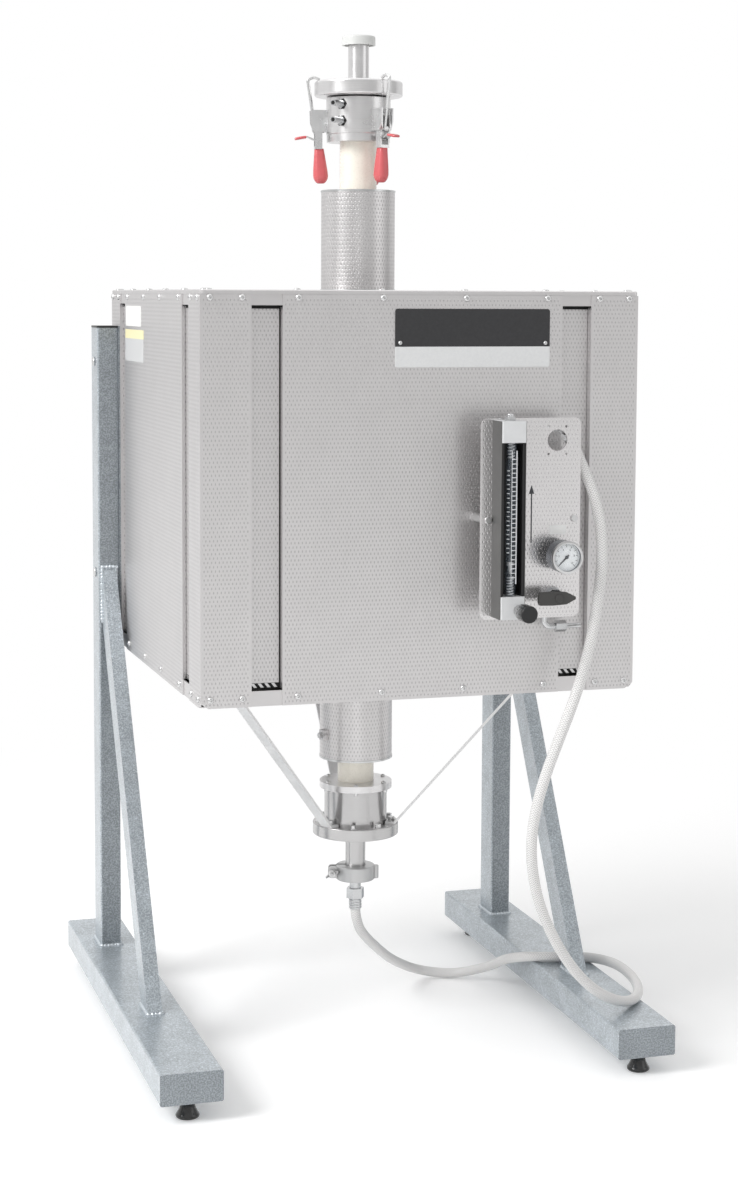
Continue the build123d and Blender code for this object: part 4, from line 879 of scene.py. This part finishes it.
class FURNACE_OT_screws(Making):
    """Dome screws round the housing's edges and on its cover"""
    bl_idname = "furnace.screws"
    bl_label = "Housing screws"

    def make(self, scene):
        radius = scene.furnace_sizes.screw_radius / MM
        low, high = housing_heights()
        shape = Shape()
        for face, out, along, half in housing_sides():
            for reach in (half - 12.5, half - 52.5, half - 123, 54):
                for sign in (-1, 1):
                    spot = face + along * (sign * reach)
                    for height in (low + 10.5, high - 9.7):
                        dome_screw(shape, facing(spot + Vector((0, 0, height)), out), radius)
                    if reach != half - 52.5:
                        shape.turned([(radius, -0.2), (0.95 * radius, 0.9), (0.6 * radius, 1.8), (0, 2.1)],
                                     facing(spot - out * 8 + Vector((0, 0, high)), (0, 0, 1), out), 16)
        shape.made("housing_screws", "bolt_steel")


SLOT_DEPTH, SIDE_SLOT_DEPTH = 13, 6     # of the sheet behind a slot
SLOT_INSET = 83.5                       # from a corner of the housing to the middle of a slot


class FURNACE_OT_slots(Making):
    """Sheet floors, black strips of painted shade in the openings, and louvre bars in the cooling slots"""
    bl_idname = "furnace.slots"
    bl_label = "Cooling slots"

    def make(self, scene):
        floors, dark, bars = Shape(), Shape(), Shape()
        wide, gap = 19.2, 1.3     # half a slot's width, and the strip of painted shade along its inner edge
        low, high = housing_heights()
        for face, out, along, half in housing_sides():
            for sign in (-1, 1):
                depth = SIDE_SLOT_DEPTH if out.x else SLOT_DEPTH
                place = facing(face - out * depth + along * (sign * (half - SLOT_INSET)), out)
                if sign * along.dot(place.col[0].xyz) > 0:
                    inner, reach = (-wide, gap - wide), (gap - wide, wide)
                else:
                    inner, reach = (wide - gap, wide), (-wide, wide - gap)
                floors.prism(rounded(*reach, low + 27, high - 23.2, 0.4, 1), 0, 1, place)
                # Painted shade: black strips along each slot's inner edge and across its top and bottom openings.
                dark.prism(rounded(*inner, low + 21, high - 20.6, 0.4, 1), 0, 0.6, place)
                for z0, z1 in ((low + 21, low + 26.8), (high - 23, high - 19.4)):
                    dark.prism(rounded(-wide, wide, z0, z1, 0.4, 1), 0, 0.8, place)
                for index in range(4):
                    x = reach[0] + 1.5 + index * 8.6
                    bars.prism([(x + 4, low + 21.4), (x + 8, low + 21.4), (x + 4, low + 26.6), (x, low + 26.6)],
                               0.8, 1.3, place)
        floors.made("slot_floors", "slot_sheet", slot="housing_sheet")
        dark.made("slot_openings", "shadow_black", slot="black_plastic")
        bars.made("slot_bars", "bolt_steel")


# left, right, low and high edge on the face that carries the sign
SIGN = (-39.3, 164.7, 924, 996.3)
SIGN_SCREWS = ((-32.7, 954.3), (158.7, 953.9))
SIDE_LABELS = ((-181.5, -72.5, 969, 997), (-186.5, -55.5, 920.5, 964.4))
GAUGE_LABEL = (148.7, 171.7, 716.7, 728.4)
ARROW = ((124.2, 707), (125.8, 707), (125.8, 768), (128.6, 768), (125, 779), (121.4, 768), (124.2, 768))


class FURNACE_OT_signs(Making):
    """Bare signs on the housing and bare marks on the gas panel"""
    bl_idname = "furnace.signs"
    bl_label = "Signs"

    def make(self, scene):
        thick = scene.furnace_sizes.sign_thickness / MM
        front = facing((0, span("front_panel")[0].y, 0), (0, -1, 0))
        Shape().prism(rounded(*SIGN, 3), 0, thick, front).made(
            "front_sign", "sign_paint", slot="black_plastic", bevel=0.25)
        screws = Shape()
        for x, z in SIGN_SCREWS:
            dome_screw(screws, front @ Matrix.Translation((x, z, thick)), 2.6, 1.6)
        screws.made("sign_screws", "bolt_steel")

        left = facing((span("side_panels")[0].x, 0, 0), (-1, 0, 0))
        labels = Shape()
        for outline in SIDE_LABELS:
            labels.prism(rounded(*outline, 2), 0, 0.4, left)
        labels.made("side_labels", "side_label", slot="meter_body")

        plate = facing((0, span("gas_panel_plate")[0].y, 0), (0, -1, 0))
        Shape().prism(ARROW, 0, 0.2, plate).made("flow_arrow", "mark_paint", slot="black_plastic")
        Shape().prism(rounded(*GAUGE_LABEL, 1.5), 0, 0.4, plate).made(
            "gauge_label", "label_grey", slot="meter_body")


SEAM_ANGLE = 60


class FURNACE_OT_sleeves(Making):
    """Seams, spot welds, end bands and the clamp bolt of the sleeves"""
    bl_idname = "furnace.sleeves"
    bl_label = "Sleeves"

    def make(self, scene):
        radius = span("upper_sleeve")[1].x
        upper, lower = span("upper_sleeve"), span("lower_sleeve")
        seams, dots = Shape(), Shape()
        for low, high in (upper, lower):
            seams.bent(radius, (SEAM_ANGLE, SEAM_ANGLE + 11), (low.z + 0.5, high.z - 0.5), 0.8)
            count = int((high.z - low.z) / 9)
            for index in range(count):
                height = low.z + 6 + index * (high.z - low.z - 12) / (count - 1)
                dots.turned([(1.3, -0.1), (1.1, 0.35), (0, 0.5)],
                            on_side(radius + 0.8, SEAM_ANGLE + 5.5, height), 10)
        seams.made("sleeve_seams", "sleeve_steel")
        dots.made("sleeve_spot_welds", "bolt_steel")

        bands = Shape()
        for low, high in ((upper[1].z - 3, upper[1].z), (upper[0].z, upper[0].z + 2.2),
                          (lower[0].z, lower[0].z + 3), (lower[1].z - 2.2, lower[1].z)):
            proud = radius + 0.7
            bands.turned([(radius, low), (proud, low + 0.3), (proud, high - 0.3), (radius, high)], steps=64)
        bands.made("sleeve_end_bands", "sleeve_steel")
        hex_bolt(Shape(), on_side(radius + 6, 196, lower[0].z + 35), 7, 4.5).made("sleeve_clamp_bolt", "bolt_steel")


# ------------------------------------------------------------------ stand
FOOT_PROFILE = ((0, 0), (13.6, 0), (14.7, 1.1), (15, 2.6), (14.6, 4.2), (13.2, 5.8), (10.2, 12), (8.8, 17.4),
                (7.6, 18.6), (0, 18.6))


class FURNACE_OT_feet(Making):
    """Flared rubber feet with their studs, and the rims of the post plugs"""
    bl_idname = "furnace.feet"
    bl_label = "Feet and plugs"

    def make(self, scene):
        for end in ("front", "rear"):
            for side in ("left", "right"):
                name = f"levelling_foot_{end}_{side}"
                low, high = span(name)
                x, y = (low.x + high.x) / 2, (low.y + high.y) / 2
                middle = Matrix.Translation((x, y, low.z))
                rubber = Shape().turned(FOOT_PROFILE, middle, 40).made(
                    f"foot_{end}_{side}", "foot_rubber", body=name, slot="black_plastic", angle=50)
                stud = Shape().prism(hexagon(16), 18.4, 24, middle)
                tall = high.z - low.z
                stud.turned([(4.8, 23.8), (4.8, tall - 0.5), (4.0, tall), (0, tall)], middle, 20)
                stud.made(f"foot_stud_{end}_{side}", "bolt_steel", body=name, bevel=0.4)
                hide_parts(name)
        rims = Shape()
        for post in ("left_post", "right_post"):
            low, high = span(post)
            rims.prism(rounded(low.x - 0.3, high.x + 0.3, low.y - 0.3, high.y + 0.3, 3.3),
                       high.z - 2.6, high.z + 0.2)
        rims.made("post_plug_rims", "black_plastic")


BRACE_HALF = 10.0                       # half a brace's width
BRACE_FOOT, BRACE_HEAD = 46.4, 78       # how long its joints with the beam and the post are


class FURNACE_OT_welds(Making):
    """Weld beads where the posts and braces meet the stand"""
    bl_idname = "furnace.welds"
    bl_label = "Weld beads"

    def make(self, scene):
        random.seed(7)
        self.radius = scene.furnace_sizes.bead_radius / MM
        shape = Shape()
        top = span("left_foot_beam")[1].z
        brace_low, brace_high = span("braces")
        for side, post in ((-1, "left_post"), (1, "right_post")):
            low, high = span(post)
            self.bead(shape, low.x, high.x, [(low.y, top), (high.y, top)])
            middle = side * (abs(low.x + high.x) / 2)
            left, right = middle - BRACE_HALF, middle + BRACE_HALF
            self.bead(shape, left, right, [(brace_low.y, top), (brace_low.y + BRACE_FOOT, top)])
            self.bead(shape, left, right, [(low.y, brace_high.z), (low.y, brace_high.z - BRACE_HEAD)])
        shape.made("weld_beads", "weld_metal", slot="stand_paint", angle=80)

    def bead(self, shape, left, right, ends):
        """A bead round a rectangle between two pairs of depth and height."""
        (y0, z0), (y1, z1) = ends
        corners = [Vector(spot) for spot in ((left, y0, z0), (right, y0, z0), (right, y1, z1), (left, y1, z1))]
        points, radii = [], []
        for start, end in zip(corners, corners[1:] + corners[:1]):
            count = max(2, int((end - start).length / 1.1))
            for index in range(count):
                points.append(start.lerp(end, index / count))
                radii.append(self.radius * (0.7 + 0.4 * abs(sin(len(points) * 0.7)) + random.uniform(-0.12, 0.12)))
        shape.rod(points, radii, 8, closed=True)


# ------------------------------------------------------------------ heads
NIPPLE_ANGLE = 222
LATCH_ANGLES = (170, 290, 50)
# A grip's middle lies this far from the axis, and leans out by so much over its upper part.
GRIP_OUT, GRIP_LEAN, LEAN_START, LEAN_RUN = 51.1, 2.2, 55.5, 35.9
# drop below the head's foot, depth, width and corner radius of each section of a grip
GRIP_SECTIONS = ((18.6, 11.4, 11.4, 3.2), (20.0, 12.6, 12.6, 4.0), (28.0, 14.6, 13.8, 5.0), (38.0, 17.0, 15.6, 6.0),
                 (48.0, 19.3, 17.1, 7.0), (55.0, 20.2, 17.8, 7.6), (59.0, 18.8, 16.8, 7.4), (62.0, 15.6, 14.4, 6.6),
                 (64.0, 12.4, 11.6, 5.4), (65.2, 8.6, 8.4, 4.0))

# distance from the axis, height, half width and half thickness of each section of a catch's sleeve
CATCH_SECTIONS = ((71, 1224.9, 5.6, 1.7), (74, 1224.6, 6.0, 1.8), (79, 1223.7, 6.2, 1.9), (84, 1222.7, 5.8, 1.8),
                  (86.2, 1222.4, 4.2, 1.4))


class FURNACE_OT_upper_head(Making):
    """Grips, catch sleeves and nipple seats of the upper head"""
    bl_idname = "furnace.upper_head"
    bl_label = "Upper head"

    def make(self, scene):
        head = span("upper_head_body")[0].z
        radius = span("lower_head_body")[1].x
        bore_shade_discs, seats = Shape(), Shape()
        for height in (head + 16.7, head + 38.9):
            # Black discs of painted shade stand in for the nipples' bores.
            bore_shade_discs.turned([(0, 0), (2.7, 0), (2.7, 0.3), (0, 0.3)], on_side(64.9, NIPPLE_ANGLE, height), 16)
            seats.prism(hexagon(13.4), -0.4, 0.9, on_side(radius - 0.3, NIPPLE_ANGLE, height))
        bore_shade_discs.made("nipple_bores", "shadow_black", slot="black_plastic")
        seats.made("nipple_seats", "seal_rubber")
        turns = [Matrix.Rotation(radians(angle), 4, "Z") for angle in LATCH_ANGLES]
        for number, turn in enumerate(turns, 1):
            self.grip(f"latch_lever_{number}", turn, head)
        for number, turn in enumerate(turns, 1):
            self.catch_sleeve(f"latch_catch_{number}", turn)

    def grip(self, body, turn, head):
        """A soft rounded grip over a latch lever's tail."""
        shape, rings = Shape(), []
        for drop, depth, width, corner in GRIP_SECTIONS:
            middle = GRIP_OUT + GRIP_LEAN * max(0.0, LEAN_START - drop) / LEAN_RUN
            rings.append(shape.ring(turn @ Vector((middle + x, y, head - drop)) for x, y in
                                    rounded(-depth / 2, depth / 2, -width / 2, width / 2, corner, 5)))
        shape.skin(rings).cap(rings).made(body + "_grip", "grip_vinyl", body=body, angle=60)

    def catch_sleeve(self, body, turn):
        """A dipped sleeve over the tip of a safety catch."""
        shape = Shape()
        rings = [shape.ring(turn @ Vector((out, x, height + y)) for x, y in
                            rounded(-half, half, -thick, thick, min(thick, 1.8), 3))
                 for out, height, half, thick in CATCH_SECTIONS]
        shape.skin(rings).cap(rings).made(body + "_sleeve", "grip_vinyl", body=body, angle=50)


class FURNACE_OT_lower_head(Making):
    """Bolts of the lower head, its flange and its straps"""
    bl_idname = "furnace.lower_head"
    bl_label = "Lower head"

    def make(self, scene):
        ring, flange = span("clamp_rings")[0].z, span("lower_head_body")[0].z
        strap = span("flange_straps")[1].z
        bolts, domes = Shape(), Shape()
        # first angle, number, radius, height and direction of each circle of bolts, then a head's width and height
        for start, count, radius, height, up, across, tall in (
                (14, 6, 46.7, ring + 1.7, -1, 5.2, 3.4), (10, 9, 52, flange, 1, 7, 5),
                (90, 3, 51, flange + 3, 1, 8, 5.5), (90, 3, 257, strap - 3, -1, 8, 5.5)):
            for angle in range(start, start + 360, 360 // count):
                hex_bolt(bolts, facing(polar(radius, angle, height), (0, 0, up), polar(1, angle)), across, tall)
        for angle in range(14, 374, 60):
            dome_screw(domes, facing(polar(44, angle, ring + 10.7), (0, 0, 1), polar(1, angle)), 3.4, 2.6)
        bolts.made("lower_head_bolts", "bolt_steel")
        domes.made("lower_ring_screws", "bolt_steel")


# ------------------------------------------------------------------ gas panel
SCALE_FOOT, SCALE_PITCH = 668, 5.6      # the flow meter's lowest tick and the distance between ticks


class FURNACE_OT_flow_meter(Making):
    """Scale, a painted highlight on the glass, stop springs and top fitting of the flow meter"""
    bl_idname = "furnace.flow_meter"
    bl_label = "Flow meter"

    def make(self, scene):
        glass = span("flow_meter_tube")
        middle = (glass[0] + glass[1]) / 2
        radius = (glass[1].x - glass[0].x) / 2
        scale = Shape()
        for index in range(27):
            height = SCALE_FOOT + index * SCALE_PITCH
            self.mark(scale, middle, radius + 0.2, [(angle, height) for angle in range(-8, 51, 7)], 0.55)
            if 4 < index < 24:
                height += SCALE_PITCH / 2
                self.mark(scale, middle, radius + 0.2, [(angle, height) for angle in range(-62, -33, 7)], 0.55)
        # The thick white line at 52 degrees is a painted highlight down the glass.
        for angle, thick in ((52, 0.9), (-12, 0.35)):
            self.mark(scale, middle, radius + 0.1, [(angle, height) for height in (660, 740, 824)], thick)
        scale.made("flow_scale", "mark_white", slot="meter_body")

        blocks = span("flow_meter_blocks")
        sides = Shape()
        for x0, x1 in ((blocks[0].x - 0.6, blocks[0].x), (blocks[1].x, blocks[1].x + 0.6)):
            sides.prism([(x0, blocks[0].y + 1.5), (x1, blocks[0].y + 1.5), (x1, blocks[1].y), (x0, blocks[1].y)],
                        blocks[0].z, blocks[1].z)
        sides.made("meter_sides", "channel_metal", slot="black_plastic")

        self.springs(glass, middle)
        self.top_fitting(middle)

    def mark(self, shape, middle, radius, spots, thick):
        """A line on the glass through pairs of angle and height."""
        shape.rod([(middle.x + radius * sin(radians(angle)), middle.y - radius * cos(radians(angle)), height)
                   for angle, height in spots], thick, 6)

    def springs(self, glass, middle):
        """Stop springs over and under the float's travel."""
        springs = Shape()
        for low, high in ((glass[0].z + 6.2, 669), (814, glass[1].z - 6.2)):
            count = 12 * int((high - low) / 3.4)
            springs.rod([(middle.x + 3.9 * cos(pi * index / 6), middle.y + 3.9 * sin(pi * index / 6),
                          low + (high - low) * index / count) for index in range(count + 1)], 0.8, 6)
        springs.made("flow_springs", "mark_white", slot="float_metal")

    def top_fitting(self, middle):
        """A hexagon with a rounded plug on the upper block."""
        top = span("flow_meter_blocks")[1]
        x, y = middle.x + 1.5, middle.y + 9
        fitting = Shape().prism([(x + a, y + b) for a, b in hexagon(12.5)], top.z - 0.2, top.z + 5)
        fitting.turned([(4.6, top.z + 4.8), (4.6, top.z + 7.6), (3.8, top.z + 8.6), (0, top.z + 8.6)],
                       Matrix.Translation((x, y, 0)), 20)
        fitting.made("meter_top_fitting", "fitting_metal", bevel=0.3)


class FURNACE_OT_gauge(Making):
    """Dial, ticks, bezel and glass of the pressure gauge, and the valve lever's cap"""
    bl_idname = "furnace.gauge"
    bl_label = "Gauge"

    def make(self, scene):
        low, high = span("gauge_case")
        radius = (high.x - low.x) / 2
        centre = ((low.x + high.x) / 2, low.y, (low.z + high.z) / 2)
        place = facing(centre, (0, -1, 0))
        Shape().turned([(0, -4.75), (radius - 2.6, -4.75), (radius - 2.6, -4.95)], place, 48).made(
            "gauge_dial", "dial_face", slot="meter_body")
        ticks = Shape()
        for index in range(41):
            a = radians(225 - 270 * index / 40)
            inner, half = (12.4, 0.3) if index % 4 == 0 else (14.2, 0.16)
            across = Vector((-sin(a), cos(a))) * half
            ends = [Vector((cos(a), sin(a))) * reach for reach in (inner, 16.2)]
            outline = [ends[0] + across, ends[0] - across, ends[1] - across, ends[1] + across]
            ticks.prism([tuple(point) for point in outline], -4.76, -4.68, place)
        ticks.made("gauge_ticks", "needle_paint")
        Shape().turned([(radius - 2.6, -1.2), (radius - 2.6, 0.3), (radius - 1.6, 0.9), (radius + 0.2, 0.7),
                        (radius + 0.6, -0.6), (radius + 0.6, -2.6), (radius, -3.2)], place, 64).made(
            "gauge_bezel", "bolt_steel", slot="gauge_metal")
        Shape().turned([(0, -0.9), (radius - 2.7, -0.9), (radius - 2.7, -1.6), (0, -1.6)], place, 48).made(
            "gauge_glass", "clear_glass", slot="meter_glass")
        self.numbers(scene, place)
        self.lever_cap()

    def lever_cap(self):
        """A round cap on the valve lever's stem."""
        lever, valve = span("valve_lever"), span("shutoff_valve")
        stem = facing((lever[0].x + 27, lever[0].y, (lever[0].z + lever[1].z) / 2), (0, -1, 0))
        proud = max(1.4, lever[0].y - valve[0].y + 0.5)
        Shape().turned([(5.2, -0.2), (5.2, proud - 0.6), (4.4, proud), (0, proud)], stem, 20).made(
            "valve_lever_cap", "lever_black", body="valve_lever", slot="black_plastic")

    def numbers(self, scene, place):
        """Plain numbers from 0 to 10 round the dial."""
        for index in range(6):
            a = radians(225 - 54 * index)
            text = bpy.data.curves.new(f"dial_number_{2 * index}", "FONT")
            text.body = str(2 * index)
            text.size = 3.6 * MM
            text.align_x = text.align_y = "CENTER"
            mark = bpy.data.objects.new(text.name, text)
            scene.collection.objects.link(mark)
            spot = place @ Vector((10.2 * cos(a), 10.2 * sin(a), -4.65))
            mark.matrix_world = Matrix.Translation((spot + ORIGIN) * MM) @ place.to_3x3().to_4x4()
            text.materials.append(finish("needle_paint"))
            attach(mark, "base")


# ------------------------------------------------------------------ panel and registration
STEPS = (FURNACE_OT_stage, FURNACE_OT_hose, FURNACE_OT_finishes, FURNACE_OT_screws, FURNACE_OT_slots,
         FURNACE_OT_signs, FURNACE_OT_sleeves, FURNACE_OT_feet, FURNACE_OT_welds, FURNACE_OT_upper_head,
         FURNACE_OT_lower_head, FURNACE_OT_flow_meter, FURNACE_OT_gauge)


class FURNACE_PT_panel(bpy.types.Panel):
    """Sizes, colours and pieces of the furnace"""
    bl_idname = "FURNACE_PT_panel"
    bl_label = "Vertical Tube Furnace"
    bl_space_type = "VIEW_3D"
    bl_region_type = "UI"
    bl_category = "Furnace"

    def draw(self, context):
        for group in (context.scene.furnace_colours, context.scene.furnace_sizes, context.scene.furnace_stage):
            box = self.layout.box()
            for name in group.__annotations__:
                box.prop(group, name)
        for step in STEPS:
            self.layout.operator(step.bl_idname)


GROUPS = {"furnace_colours": FurnaceColours, "furnace_sizes": FurnaceSizes, "furnace_stage": FurnaceStage}
CLASSES = (*GROUPS.values(), *STEPS, FURNACE_PT_panel)


def register():
    for kind in CLASSES:
        bpy.utils.register_class(kind)
    for name, group in GROUPS.items():
        setattr(bpy.types.Scene, name, PointerProperty(type=group))


def unregister():
    for name in GROUPS:
        delattr(bpy.types.Scene, name)
    for kind in reversed(CLASSES):
        bpy.utils.unregister_class(kind)


def main():
    """Makes every piece in order."""
    register()
    for step in STEPS:
        group, name = step.bl_idname.split(".")
        getattr(getattr(bpy.ops, group), name)()


if __name__ == "__main__":
    main()
